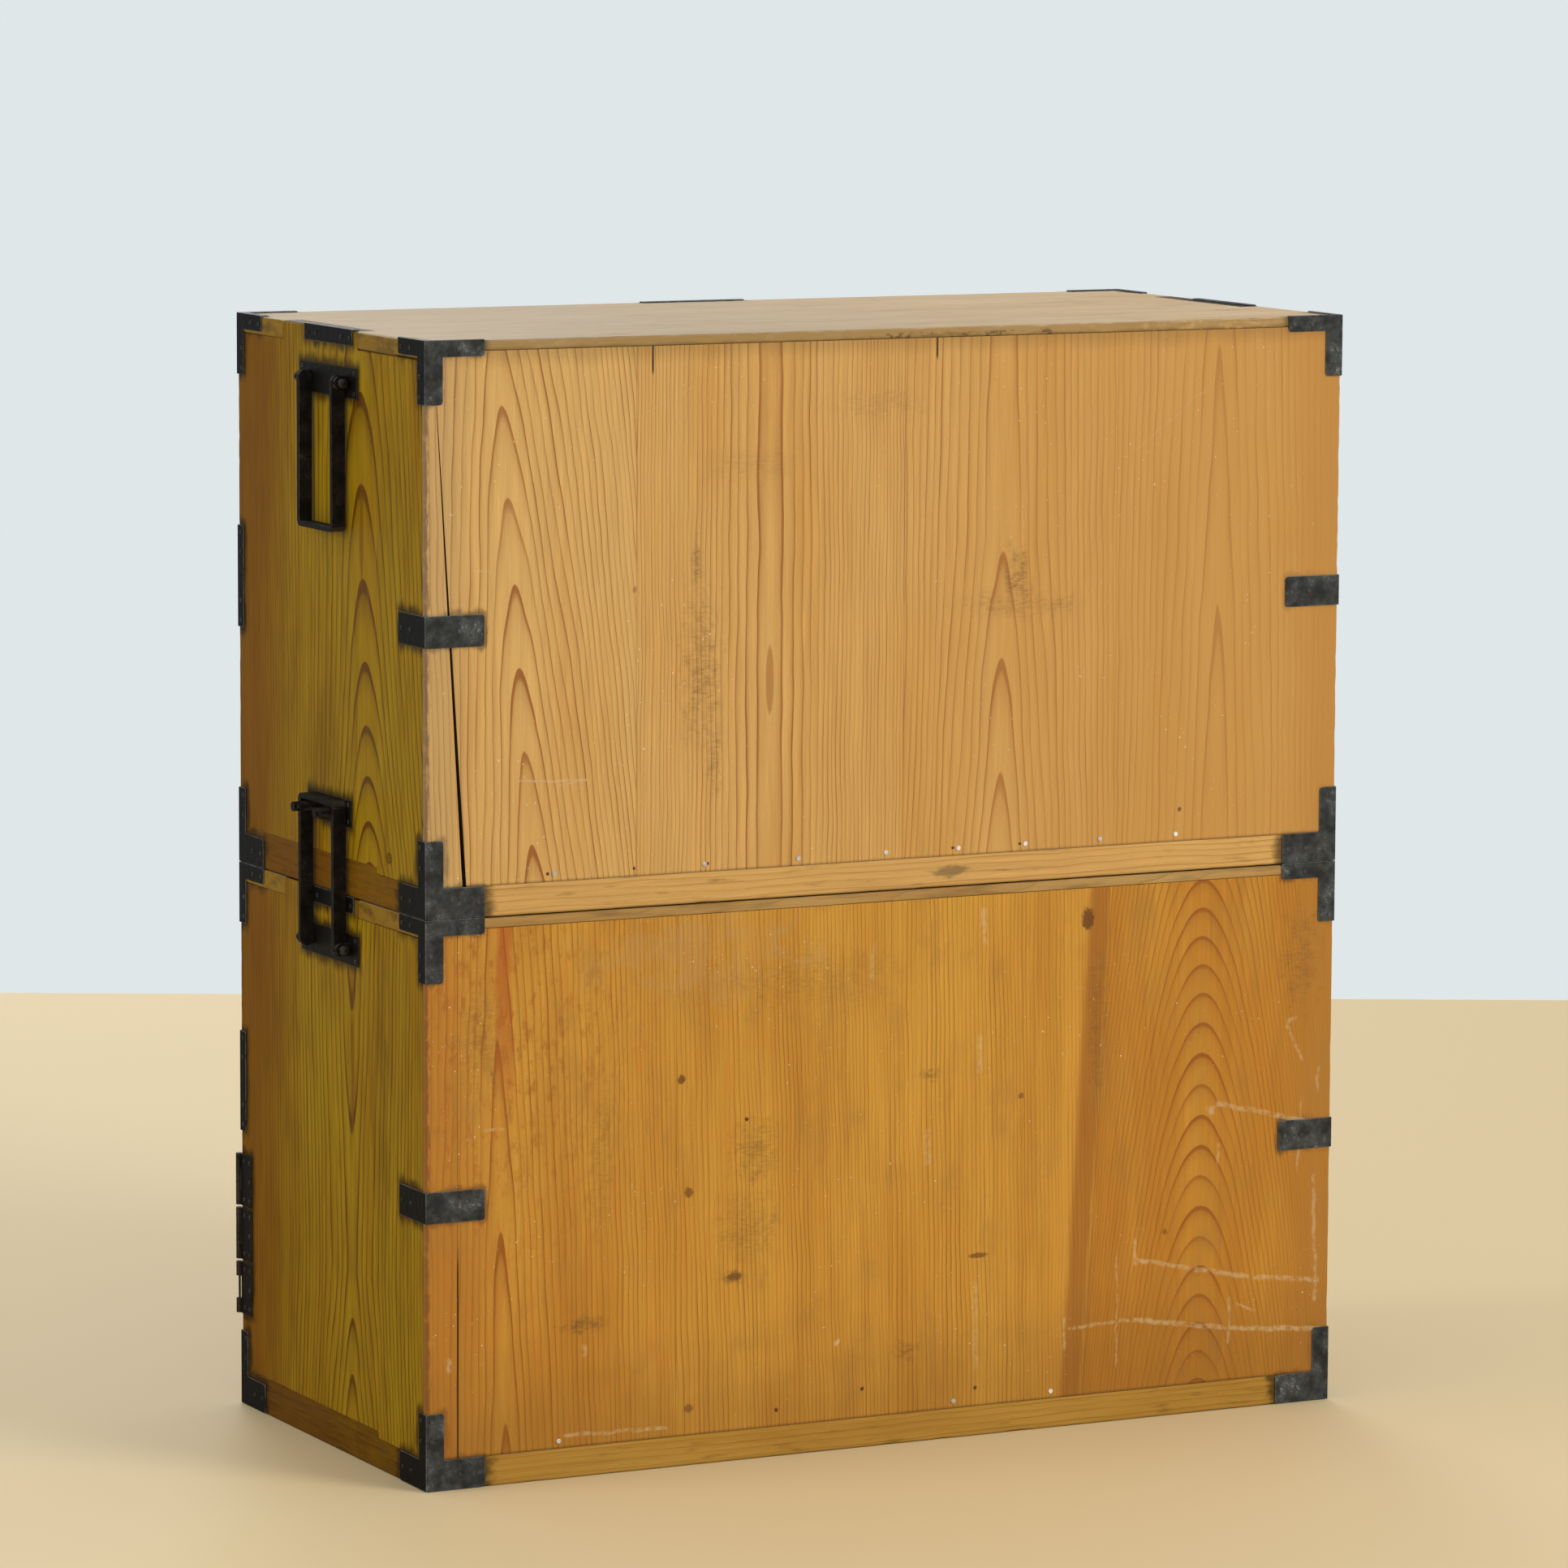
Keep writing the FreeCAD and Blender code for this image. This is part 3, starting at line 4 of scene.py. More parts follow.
import bmesh
import bpy
from mathutils import Matrix, Vector, noise


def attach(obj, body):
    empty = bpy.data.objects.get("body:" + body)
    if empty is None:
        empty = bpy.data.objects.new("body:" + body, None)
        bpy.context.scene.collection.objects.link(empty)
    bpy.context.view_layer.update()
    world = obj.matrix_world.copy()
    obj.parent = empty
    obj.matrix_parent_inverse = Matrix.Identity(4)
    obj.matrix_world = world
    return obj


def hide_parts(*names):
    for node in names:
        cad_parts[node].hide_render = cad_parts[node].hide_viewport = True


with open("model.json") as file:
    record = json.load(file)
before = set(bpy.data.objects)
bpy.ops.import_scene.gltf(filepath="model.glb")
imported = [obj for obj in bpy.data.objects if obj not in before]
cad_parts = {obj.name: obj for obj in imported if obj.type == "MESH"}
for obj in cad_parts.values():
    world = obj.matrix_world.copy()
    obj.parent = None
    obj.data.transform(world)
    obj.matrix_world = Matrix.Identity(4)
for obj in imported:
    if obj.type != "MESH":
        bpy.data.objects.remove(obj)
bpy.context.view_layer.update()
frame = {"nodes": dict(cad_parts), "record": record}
MM = 0.001

# Millimetres, from the row frame.
HALF_WIDTH, HALF_DEPTH = 476, 217
BOX_STEP = 525.6
LOWER_TOP, UPPER_BASE, HIGHEST = 525, 526.2, 1050
# Heights that the grain of the back and side boards is measured from.
LOWER_MIDDLE, UPPER_MIDDLE = 262, 800


# ------------------------------------------------------------------ camera, floor and light
def rotation(axis, degrees):
    return Matrix.Rotation(math.radians(degrees), 3, axis)


def row(vector):
    """A direction of the camera fit, whose x and y run against the row frame's."""
    return Vector((-vector.x, -vector.y, vector.z))


CAMERA_PLACE = Vector((3.17704, 6.28483, 1.49856))
CAMERA_TURN = rotation("Z", -26.778) @ rotation("X", -7.269) @ rotation("Y", -0.269)
FOCAL_PIXELS, FRAME_PIXELS = 9157.3, 1932
SENSOR = 36

camera_data = bpy.data.cameras.new("camera")
camera_data.sensor_width = SENSOR
camera_data.lens = SENSOR * FOCAL_PIXELS / FRAME_PIXELS
camera = bpy.data.objects.new("camera", camera_data)
right, ahead, up = (row(CAMERA_TURN @ Vector(axis)) for axis in ((1, 0, 0), (0, 1, 0), (0, 0, 1)))
camera_axes = Matrix((right, up, -ahead)).transposed().to_4x4()
camera.matrix_world = Matrix.Translation(CAMERA_PLACE) @ camera_axes
bpy.context.scene.collection.objects.link(camera)
bpy.context.scene.camera = camera


def linear(red, green, blue):
    """A colour given as on a screen, 0 to 255, for a shader."""
    def channel(c):
        c /= 255
        return c / 12.92 if c <= 0.04045 else ((c + 0.055) / 1.055) ** 2.4
    return (channel(red), channel(green), channel(blue), 1)


WALL = linear(224, 231, 233)
FLOOR = linear(222, 200, 154)
FILL, FILL_STRENGTH = (0.99, 0.99, 1, 1), 0.6
LAMP_SIZE = 3.0
LAMP_AIM = Vector((0, 0, 0.55))


def light_world():
    """An even fill, which the camera, glossy and transmission rays see as the wall's colour."""
    world = bpy.data.worlds.new("studio")
    bpy.context.scene.world = world
    world.use_nodes = True
    nodes, links = world.node_tree.nodes, world.node_tree.links
    out = nodes["World Output"]
    fill = nodes["Background"]
    fill.inputs["Color"].default_value = FILL
    fill.inputs["Strength"].default_value = FILL_STRENGTH
    seen = nodes.new("ShaderNodeBackground")
    seen.inputs["Color"].default_value = WALL
    seen.inputs["Strength"].default_value = 1
    path = nodes.new("ShaderNodeLightPath")
    mix = nodes.new("ShaderNodeMixShader")
    direct = path.outputs["Is Camera Ray"]
    for ray in ("Is Glossy Ray", "Is Transmission Ray"):
        either = nodes.new("ShaderNodeMath")
        either.operation = "MAXIMUM"
        links.new(direct, either.inputs[0])
        links.new(path.outputs[ray], either.inputs[1])
        direct = either.outputs[0]
    links.new(direct, mix.inputs[0])
    links.new(fill.outputs[0], mix.inputs[1])
    links.new(seen.outputs[0], mix.inputs[2])
    links.new(mix.outputs[0], out.inputs["Surface"])


def lamp(name, place, watts, colour=(1, 1, 1)):
    data = bpy.data.lights.new(name, "AREA")
    data.shape = "DISK"
    data.size = LAMP_SIZE
    data.energy = watts
    data.color = colour
    obj = bpy.data.objects.new(name, data)
    obj.location = place
    obj.rotation_euler = (LAMP_AIM - Vector(place)).to_track_quat("-Z", "Y").to_euler()
    bpy.context.scene.collection.objects.link(obj)


bpy.context.scene.view_settings.view_transform = "Standard"
light_world()
lamp("window", (-3.2, 5.2, 3.4), 230, (1, 0.98, 0.95))
lamp("front_fill", (-1.5, -6.0, 3.0), 90)
lamp("side_fill", (6.0, -1.0, 2.6), 100)

FLOOR_REACH = 2.52
FLOOR_SIDES = 8


def add_floor():
    """An eight-sided floor, with one side square to the view on the far side of the chest."""
    heading = math.atan2(ahead.y, ahead.x)
    radius = FLOOR_REACH / math.cos(math.pi / FLOOR_SIDES)
    turns = [heading + math.pi * (2 * i + 1) / FLOOR_SIDES for i in range(FLOOR_SIDES)]
    mesh = bpy.data.meshes.new("floor")
    mesh.from_pydata([(radius * math.cos(a), radius * math.sin(a), 0) for a in turns], [],
                     [list(range(FLOOR_SIDES))])
    floor = bpy.data.objects.new("floor", mesh)
    bpy.context.scene.collection.objects.link(floor)
    material = bpy.data.materials.new("floor")
    material.use_nodes = True
    shader = material.node_tree.nodes["Principled BSDF"]
    shader.inputs["Base Color"].default_value = FLOOR
    shader.inputs["Roughness"].default_value = 0.7
    mesh.materials.append(material)


add_floor()


# ------------------------------------------------------------------ formulas as shader nodes
# How far a scratch fades out at its ends in millimetres, and the share of its width that is full.
LINE_END, LINE_CORE = 4, 0.3


class Value:
    """A socket that can be used in a formula."""

    def __init__(self, graph, socket):
        self.graph = graph
        self.socket = socket

    def __add__(self, other):
        return self.graph.math("ADD", self, other)

    def __sub__(self, other):
        return self.graph.math("SUBTRACT", self, other)

    def __rsub__(self, other):
        return self.graph.math("SUBTRACT", other, self)

    def __mul__(self, other):
        return self.graph.math("MULTIPLY", self, other)

    def __truediv__(self, other):
        return self.graph.math("DIVIDE", self, other)

    def __pow__(self, other):
        return self.graph.math("POWER", self, other)

    def __abs__(self):
        return self.graph.math("ABSOLUTE", self)

    __radd__ = __add__


class Graph:
    """The nodes of one material."""

    def __init__(self, name):
        self.material = bpy.data.materials.new(name)
        self.material.use_nodes = True
        self.tree = self.material.node_tree
        self.shader = self.tree.nodes["Principled BSDF"]
        coordinates = self.tree.nodes.new("ShaderNodeTexCoord")
        place = self.split(Value(self, coordinates.outputs["Object"]))
        self.x, self.y, self.z = (part / MM for part in place)
        self.normal = self.split(Value(self, coordinates.outputs["Normal"]))
        self.facing = [abs(part) for part in self.normal]

    def feed(self, socket, value):
        if isinstance(value, Value):
            self.tree.links.new(value.socket, socket)
        else:
            socket.default_value = value

    def math(self, operation, *values):
        node = self.tree.nodes.new("ShaderNodeMath")
        node.operation = operation
        for socket, value in zip(node.inputs, values):
            self.feed(socket, value)
        return Value(self, node.outputs[0])

    def smallest(self, *values):
        result = values[0]
        for value in values[1:]:
            result = self.math("MINIMUM", result, value)
        return result

    def largest(self, *values):
        result = values[0]
        for value in values[1:]:
            result = self.math("MAXIMUM", result, value)
        return result

    def fraction(self, value):
        return self.math("FRACT", value)

    def below(self, value, limit):
        return self.math("LESS_THAN", value, limit)

    def vector(self, x, y, z):
        node = self.tree.nodes.new("ShaderNodeCombineXYZ")
        for socket, value in zip(node.inputs, (x, y, z)):
            self.feed(socket, value)
        return Value(self, node.outputs[0])

    def split(self, vector):
        node = self.tree.nodes.new("ShaderNodeSeparateXYZ")
        self.feed(node.inputs[0], vector)
        return [Value(self, socket) for socket in node.outputs]

    def noise(self, x, y, z, detail=2.0, rough=0.5):
        """Noise about 0, between about -0.5 and 0.5, of coordinates given in its own cells."""
        node = self.tree.nodes.new("ShaderNodeTexNoise")
        self.feed(node.inputs["Vector"], self.vector(x, y, z))
        node.inputs["Scale"].default_value = 1
        node.inputs["Detail"].default_value = detail
        node.inputs["Roughness"].default_value = rough
        return Value(self, node.outputs[0]) - 0.5

    def ramp(self, value, low, high, start=0.0, end=1.0):
        """A smooth step from start to end while value goes from low to high."""
        node = self.tree.nodes.new("ShaderNodeMapRange")
        node.interpolation_type = "SMOOTHSTEP"
        for socket, part in zip(node.inputs, (value, low, high, start, end)):
            self.feed(socket, part)
        return Value(self, node.outputs[0])

    def blend(self, share, first, second):
        node = self.tree.nodes.new("ShaderNodeMix")
        for name, value in (("Factor_Float", share), ("A_Float", first), ("B_Float", second)):
            self.feed(self.input(node, name), value)
        return Value(self, node.outputs[0])

    def mix(self, share, first, second, kind="MIX"):
        node = self.tree.nodes.new("ShaderNodeMix")
        node.data_type = "RGBA"
        node.blend_type = kind
        for name, value in (("Factor_Float", share), ("A_Color", first), ("B_Color", second)):
            self.feed(self.input(node, name), value)
        return Value(self, next(s for s in node.outputs if s.identifier == "Result_Color"))

    def input(self, node, identifier):
        return next(s for s in node.inputs if s.identifier == identifier)

    def gap(self, a, b, a_span, b_span):
        """Distance from a rectangle, 0 inside it."""
        parts = []
        for value, (low, high) in ((a, a_span), (b, b_span)):
            beyond = abs(value - (low + high) / 2) - (high - low) / 2
            parts.append(self.math("MAXIMUM", beyond, 0.0))
        return self.math("SQRT", parts[0] * parts[0] + parts[1] * parts[1])

    def spot(self, a, b, centre, size):
        """Distance from the middle of an upright ellipse, 1 at its edge."""
        da, db = (a - centre[0]) / size[0], (b - centre[1]) / size[1]
        return self.math("SQRT", da * da + db * db)

    def line(self, a, b, start, end, width):
        """1 on a thin straight line between two points, 0 off it."""
        run, rise = end[0] - start[0], end[1] - start[1]
        length = math.hypot(run, rise)
        along = ((a - start[0]) * run + (b - start[1]) * rise) / length
        across = ((a - start[0]) * -rise + (b - start[1]) * run) / length
        inside = self.ramp(abs(along - length / 2), length / 2, length / 2 - LINE_END)
        return inside * self.ramp(abs(across), width, width * LINE_CORE)

    def finish(self, colour, roughness, height=None, bump=0.0):
        self.feed(self.shader.inputs["Base Color"], colour)
        self.feed(self.shader.inputs["Roughness"], roughness)
        if height is not None:
            node = self.tree.nodes.new("ShaderNodeBump")
            node.inputs["Strength"].default_value = bump
            node.inputs["Distance"].default_value = MM
            self.feed(node.inputs["Height"], height)
            self.tree.links.new(node.outputs[0], self.shader.inputs["Normal"])
        return self.material


# ------------------------------------------------------------------ wood
# A board's grain: where the pith lies across it, how far it leans, how deep it lies, how fast the
# rings climb, how far that climb reaches, the rings' spacing, where their count starts, and the
# board's own shade.
GRAIN = ("centre", "lean", "depth", "climb", "reach", "spacing", "phase", "shade")


def grain(*values):
    return dict(zip(GRAIN, values))


def choose_board(g, across, along, boards):
    """The grain of the board that a point is in, and its distance from the nearest seam."""
    values, seam_gap = dict(boards[0][1]), None
    for (seam, lean), board in boards[1:]:
        offset = across - along * lean - seam
        past = g.below(offset, 0.0)
        for key in GRAIN:
            values[key] = g.blend(past, values[key], board[key])
        seam_gap = abs(offset) if seam_gap is None else g.smallest(seam_gap, abs(offset))
    return values, seam_gap


def rings(g, across, into, along, rise, board, tighten):
    """How dark the growth rings are, 0 to 1. At half of tighten from the pith they are half as wide
    as beside it. They climb with rise, which is the distance along the board or a curve of it."""
    sway = g.noise(across / 45, into / 45, along / 110, 2) * 7
    side = across - board["centre"] - along * board["lean"] + sway
    deep = into + board["depth"]
    far = g.math("SQRT", side * side + deep * deep)
    share = side / board["reach"]
    climb = rise * board["climb"] / (share * share + 1)
    uneven = g.noise(far / 26, 3.1, along / 500, 2) * 1.4
    count = (far * (far / tighten + 1) + climb) / board["spacing"] + board["phase"] + uneven
    part = g.fraction(count)
    soft = g.ramp(part, 0.15, 1.0)
    dark = (soft * soft * 0.42 + g.ramp(part, 0.78, 0.93) * 0.58) * g.ramp(part, 1.0, 0.965)
    which = g.math("FLOOR", count)
    strength = g.noise(which * 0.73, 7.7, along / 260, 1) * 2.2 + 0.78
    middle = g.ramp(abs(side), 34, 8) * 0.45
    return dark * g.math("MAXIMUM", strength + middle, 0.22)


def fibres(g, across, into, along):
    """Fine streaks along the grain."""
    fine = g.noise(across / 0.9, into / 0.9, along / 45, 2)
    broad = g.noise(across / 7, into / 7, along / 160, 2)
    return fine, broad


SEAM_SHADE = 0.3


class Wood:
    """The parts of one wood material while it is being built up."""

    def __init__(self, name, tones, boards, across, into, along, lines=0.85, tighten=320,
                 gloss=0.22, rise=None):
        self.g = g = Graph(name)
        g.shader.inputs["Specular IOR Level"].default_value = gloss
        across, into, along = across(g), into(g), along(g)
        board, seam_gap = choose_board(g, across, along, boards)
        dark = rings(g, across, into, along, rise(g) if rise else along, board, tighten)
        fine, broad = fibres(g, across, into, along)
        early, late, aged = tones
        tint = g.noise(across / 60, into / 60, along / 330, 3) * 1.7 + 0.5 + board["shade"]
        colour = g.mix(g.math("MAXIMUM", g.math("MINIMUM", tint, 1.0), 0.0), early, aged)
        colour = g.mix(g.math("MINIMUM", dark * lines, 1.0), colour, late)
        pores = g.noise(across / 0.6, into / 0.6, along / 6, 1)
        streak = g.noise(across / 2.3, into / 2.3, along / 70, 2)
        light = 1 + fine * 0.3 + streak * 0.26 + broad * 0.32 + pores * 0.16
        self.colour = g.mix(1.0, colour, self.grey(light), "MULTIPLY")
        self.height = dark * 0.35 + fine * 0.9
        self.rough = 0.62 + fine * 0.15 - dark * 0.06
        if seam_gap is not None:
            self.darken(g.ramp(seam_gap, 0.7, 0.2) * SEAM_SHADE)

    def grey(self, value):
        node = self.g.tree.nodes.new("ShaderNodeCombineColor")
        for socket in node.inputs:
            self.g.feed(socket, value)
        return Value(self.g, node.outputs[0])

    def darken(self, share, colour=linear(38, 24, 12)):
        self.colour = self.g.mix(share, self.colour, colour)

    def tint(self, share, colour, kind="MIX"):
        self.colour = self.g.mix(share, self.colour, colour, kind)

    def end_grain(self, axis, colour=linear(112, 84, 48)):
        """Darker, coarser ends, where the surface cuts across the grain."""
        g = self.g
        pores = g.noise(g.x / 0.8, g.y / 0.8, g.z / 0.8, 2)
        ends = g.ramp(g.facing["xyz".index(axis)], 0.6, 0.9)
        self.tint(ends * (0.72 + pores), colour, "MULTIPLY")

    def done(self, bump=0.35):
        return self.g.finish(self.colour, self.rough, self.height, bump)


def fold(g, z):
    """Height within its own box, so that both boxes share one layout."""
    return z - g.math("GREATER_THAN", z, BOX_STEP) * BOX_STEP


# Where the irons lie, as spans of the distance from the chest's nearest corner and of the height
# within a box: the arms and legs of the corner irons at the head and foot, and the straps.
ARM, LEG = (-5, 58), (-5, 16)
HEAD, HEAD_LEG = (511, 530), (468, 530)
FOOT, FOOT_LEG = (-5, 28), (-5, 72)
STRAP = (248, 277)
# Half lengths of the irons in the middle of an end, as spans of the distance from its middle.
EDGE_STRAP, HANDLE_PLATE, CATCH_PLATE = (-1, 55), (-1, 66), (-1, 50)


def iron_stain(g, edge, others, width):
    """How stained the wood is by the irons near it. edge is the distance from the chest's corner,
    and others are the distances from the irons that aren't corner irons."""
    level = fold(g, g.z)
    gaps = [g.gap(edge, level, a, b)
            for a, b in ((ARM, HEAD), (LEG, HEAD_LEG), (ARM, FOOT), (LEG, FOOT_LEG))]
    near = g.smallest(*gaps, *others)
    ragged = g.noise(edge / 15, level / 30, 1.7, 3, 0.55) * 19
    ragged += g.noise(edge / 5, level / 20, 4.7, 2) * 2
    return g.ramp(near + ragged, width, 0.0) ** 1.4


def back_marks(wood, knots, smudges, scratches, specks):
    """Knots and smudges are (x, z, half width, half height, depth); scratches are
    (x, z, x, z, width, depth); specks is how strong the pale specks are."""
    g = wood.g
    rough = g.noise(g.x / 2.2, 0.3, g.z / 2.6, 2) * 0.9
    blurred = g.noise(g.x / 7, 0.3, g.z / 12, 3) * 2.2
    dabs = g.ramp(g.noise(g.x / 7, 6.3, g.z / 1.8, 2), -0.3, 0.3)
    for marks, uneven, sharp, colour, cover in (
            (knots, rough, 0.7, linear(92, 52, 18), 1.0),
            (smudges, blurred, 0.1, linear(96, 70, 34), dabs)):
        total = None
        for x, z, width, height, depth in marks:
            mark = g.ramp(g.spot(g.x, g.z, (x, z), (width, height)) + uneven, 1.2, sharp) * depth
            total = mark if total is None else g.largest(total, mark)
        wood.darken(total * cover, colour)
    pale = None
    wander = g.noise(g.x / 14, g.z / 14, 4.4, 2) * 6
    broken = g.ramp(g.noise(g.x / 6, g.z / 6, 8.1, 3), -0.25, 0.15)
    for x0, z0, x1, z1, width, depth in scratches:
        line = g.line(g.x + wander, g.z + wander, (x0, z0), (x1, z1), width) * broken * depth
        pale = line if pale is None else g.largest(pale, line)
    wood.tint(pale * 0.9, linear(202, 176, 130))
    dots = g.ramp(g.noise(g.x / 2.6, g.y / 2.6, g.z / 2.6, 1), 0.27, 0.31)
    patchy = g.ramp(g.noise(g.x / 120, 2.2, g.z / 160, 1), -0.05, 0.12)
    wood.tint(dots * patchy * specks, linear(236, 226, 202))


# Seams between planks, as x from the chest's middle. The lower back's last one leans: its x is at
# the lower middle height.
UPPER_SEAMS = (266, -9, -234)
LOWER_SEAMS = (445, 224, 2)
LEANING_SEAM, SEAM_LEAN = -219, -0.0575

UP_EARLY, UP_LATE, UP_AGED = linear(207, 165, 96), linear(152, 94, 40), linear(196, 144, 68)
LOW_EARLY, LOW_LATE, LOW_AGED = linear(203, 151, 56), linear(148, 86, 18), linear(178, 119, 32)
SIDE_EARLY, SIDE_LATE, SIDE_AGED = linear(154, 126, 18), linear(94, 58, 2), linear(140, 100, 6)


def back_wood(name, boards, tones, middle, tighten, rise=None):
    """A back's planks with the wear and stains that both backs have."""
    wood = Wood(name, tones, boards, lambda g: g.x, lambda g: HALF_DEPTH - g.y,
                lambda g: g.z - middle, tighten=tighten, rise=rise)
    g = wood.g
    edge = HALF_WIDTH - abs(g.x)
    strap = g.gap(edge, fold(g, g.z), ARM, STRAP)
    wood.darken(iron_stain(g, edge, [strap], 6) * 0.6, linear(40, 30, 20))
    worn = g.ramp(edge + g.noise(g.x / 3, 2.2, g.z / 12, 4, 0.6) * 12, 4.2, 0.6)
    wood.darken(worn * 0.8 * g.math("GREATER_THAN", g.x, 0.0), linear(74, 44, 18))
    far = g.ramp(g.x + g.noise(g.x / 5, 2.2, g.z / 60, 3) * 40, -405, -470)
    wood.tint(far * 0.8, linear(168, 114, 42))
    seam_wall = g.ramp(g.facing[0], 0.6, 0.8) * g.ramp(edge, 2, 4)
    wood.darken(seam_wall, linear(24, 14, 8))
    wood.end_grain("z")
    return wood


def levelling(g):
    """How the rings climb on the upper back, where the third plank's arches end halfway up."""
    along = g.z - UPPER_MIDDLE
    level = g.math("MINIMUM", along, along * 0.12 + 42)
    right, left = UPPER_SEAMS[1:]
    inside = g.below(abs(g.x - (right + left) / 2), (right - left) / 2)
    return g.blend(inside, along, level)


UPPER_KNOTS = [
    (355, 562, 1.6, 1.6, 1), (268, 562, 1.6, 1.6, 1), (193, 562, 1.6, 1.6, 1),
    (-62, 562, 1.6, 1.6, 1), (-133, 562, 1.6, 1.6, 1), (-305, 585, 2.2, 2.2, 0.8),
    (268, 818, 2.5, 3, 0.4),
]
UPPER_SMUDGES = [
    (205, 842, 5, 22, 0.75), (200, 742, 24, 80, 0.5), (186, 660, 10, 46, 0.45),
    (-128, 812, 16, 30, 0.7), (-170, 786, 34, 10, 0.4), (-120, 788, 60, 16, 0.3),
    (150, 930, 60, 20, 0.2), (20, 980, 70, 16, 0.2),
]
UPPER_SCRATCHES = [
    (385, 648, 312, 645, 1.4, 0.75), (345, 641, 318, 646, 1.2, 0.6), (430, 842, 405, 838, 1.2, 0.6),
    (-250, 925, -330, 985, 0.7, 0.35), (350, 800, 260, 842, 0.7, 0.28),
    (300, 960, 210, 1000, 0.7, 0.25),
]


def upper_back():
    boards = [
        (None, grain(387, 0.0765, 7.4, 0.16, 90, 12.5, 0.97, -0.45)),
        ((UPPER_SEAMS[0], 0), grain(130, 0, 30, 0.0, 120, 9.0, 0.35, -0.15)),
        ((UPPER_SEAMS[1], 0), grain(-112, 0, 8, 0.135, 80, 14.0, 0.98, -0.05)),
        ((UPPER_SEAMS[2], 0), grain(-344, 0, 5, 0.063, 80, 14.5, 0.685, 0.1)),
    ]
    wood = back_wood("upper_back_wood", boards, (UP_EARLY, UP_LATE, UP_AGED), UPPER_MIDDLE, 160,
                     levelling)
    g = wood.g
    wood.tint(g.ramp(g.x, 200, -440) * 0.65, linear(188, 136, 66))
    wood.tint(g.ramp(g.x, 425, 458) * 0.35, linear(168, 140, 98))
    eye = g.ramp(g.spot(g.x, g.z, (130, 729), (4.2, 33)), 1.05, 0.85)
    wood.tint(eye * 0.7, linear(160, 106, 48))
    back_marks(wood, UPPER_KNOTS, UPPER_SMUDGES, UPPER_SCRATCHES, 0.9)
    # Painted shade: two short splits at the head, drawn as dark lines that stand in for the shade
    # inside them.
    for x, foot in ((250, 1014), (-42, 1020)):
        split = g.ramp(abs(g.x - x), 1.3, 0.5) * g.ramp(g.z, foot - 3, foot + 4)
        wood.darken(split * 0.95, linear(22, 14, 6))
    head = g.ramp(g.z + g.noise(g.x / 30, 1.2, 2.2) * 14, 1020, 1040)
    wood.darken(head * 0.3, linear(92, 66, 30))
    wood.darken(g.ramp(g.z, 557.5, 554.2) * 0.6, linear(50, 30, 14))
    return wood.done()


LOWER_KNOTS = [
    (219, 363, 4, 4.5, 0.8), (211, 257, 4.5, 5, 0.7), (-207, 486, 6.5, 11, 0.85),
    (152, 321, 2, 2, 1), (-137, 322, 3, 3, 0.6), (-92, 173, 10, 2.6, 0.7), (-294, 179, 3, 3, 0.5),
    (211, 54, 5, 4, 0.6), (30, 56, 2, 2, 1), (-90, 46, 2, 2, 1), (120, 44, 2, 2, 1),
    (164, 174, 8, 4, 0.7),
]
LOWER_SMUDGES = [
    (-38, 348, 14, 7, 0.6), (164, 174, 18, 9, 0.8), (318, 142, 26, 9, 0.85),
    (144, 289, 30, 34, 0.5), (150, 220, 36, 44, 0.4), (-15, 88, 18, 11, 0.6),
    (420, 420, 30, 60, 0.35), (300, 300, 14, 90, 0.3), (-440, 430, 24, 60, 0.4),
    (-219, 390, 12, 80, 0.4), (100, 450, 120, 30, 0.25),
]
LOWER_SCRATCHES = [
    (-262, 155, -325, 141, 3.0, 0.6), (-325, 141, -390, 127, 3.4, 0.6),
    (-390, 127, -468, 118, 3.4, 0.6), (-188, 94, -258, 97, 2.4, 0.55),
    (-258, 97, -365, 80, 3.4, 0.65), (-365, 80, -470, 70, 3.4, 0.65),
    (-262, 176, -262, 148, 2.4, 0.6), (-242, 165, -243, 50, 1.8, 0.4),
    (-185, 108, -186, 72, 2.2, 0.6), (-366, 112, -366, 62, 2.2, 0.5),
    (-372, 104, -398, 92, 2.0, 0.45), (-458, 225, -462, 95, 3.0, 0.5),
    (-444, 300, -440, 225, 2.0, 0.4), (-347, 300, -450, 275, 3.4, 0.55),
    (-425, 372, -446, 332, 2.4, 0.5), (340, 40, 232, 38, 2.4, 0.6), (420, 330, 396, 330, 2.0, 0.5),
    (-352, 236, -352, 262, 2.0, 0.5), (-425, 372, -440, 376, 3.0, 0.5),
    (-462, 330, -462, 300, 2.4, 0.4), (322, 118, 314, 118, 7, 0.7), (458, 116, 450, 116, 9, 0.75),
    (60, 98, 52, 106, 2.4, 0.9), (-342, 300, -345, 288, 5, 0.6), (-95, 505, -96, 468, 4, 0.55),
    (-92, 385, -92, 345, 4, 0.45), (-38, 300, -38, 262, 4, 0.35), (-90, 150, -90, 62, 4, 0.3),
    (20, 480, 22, 440, 3, 0.35),
]


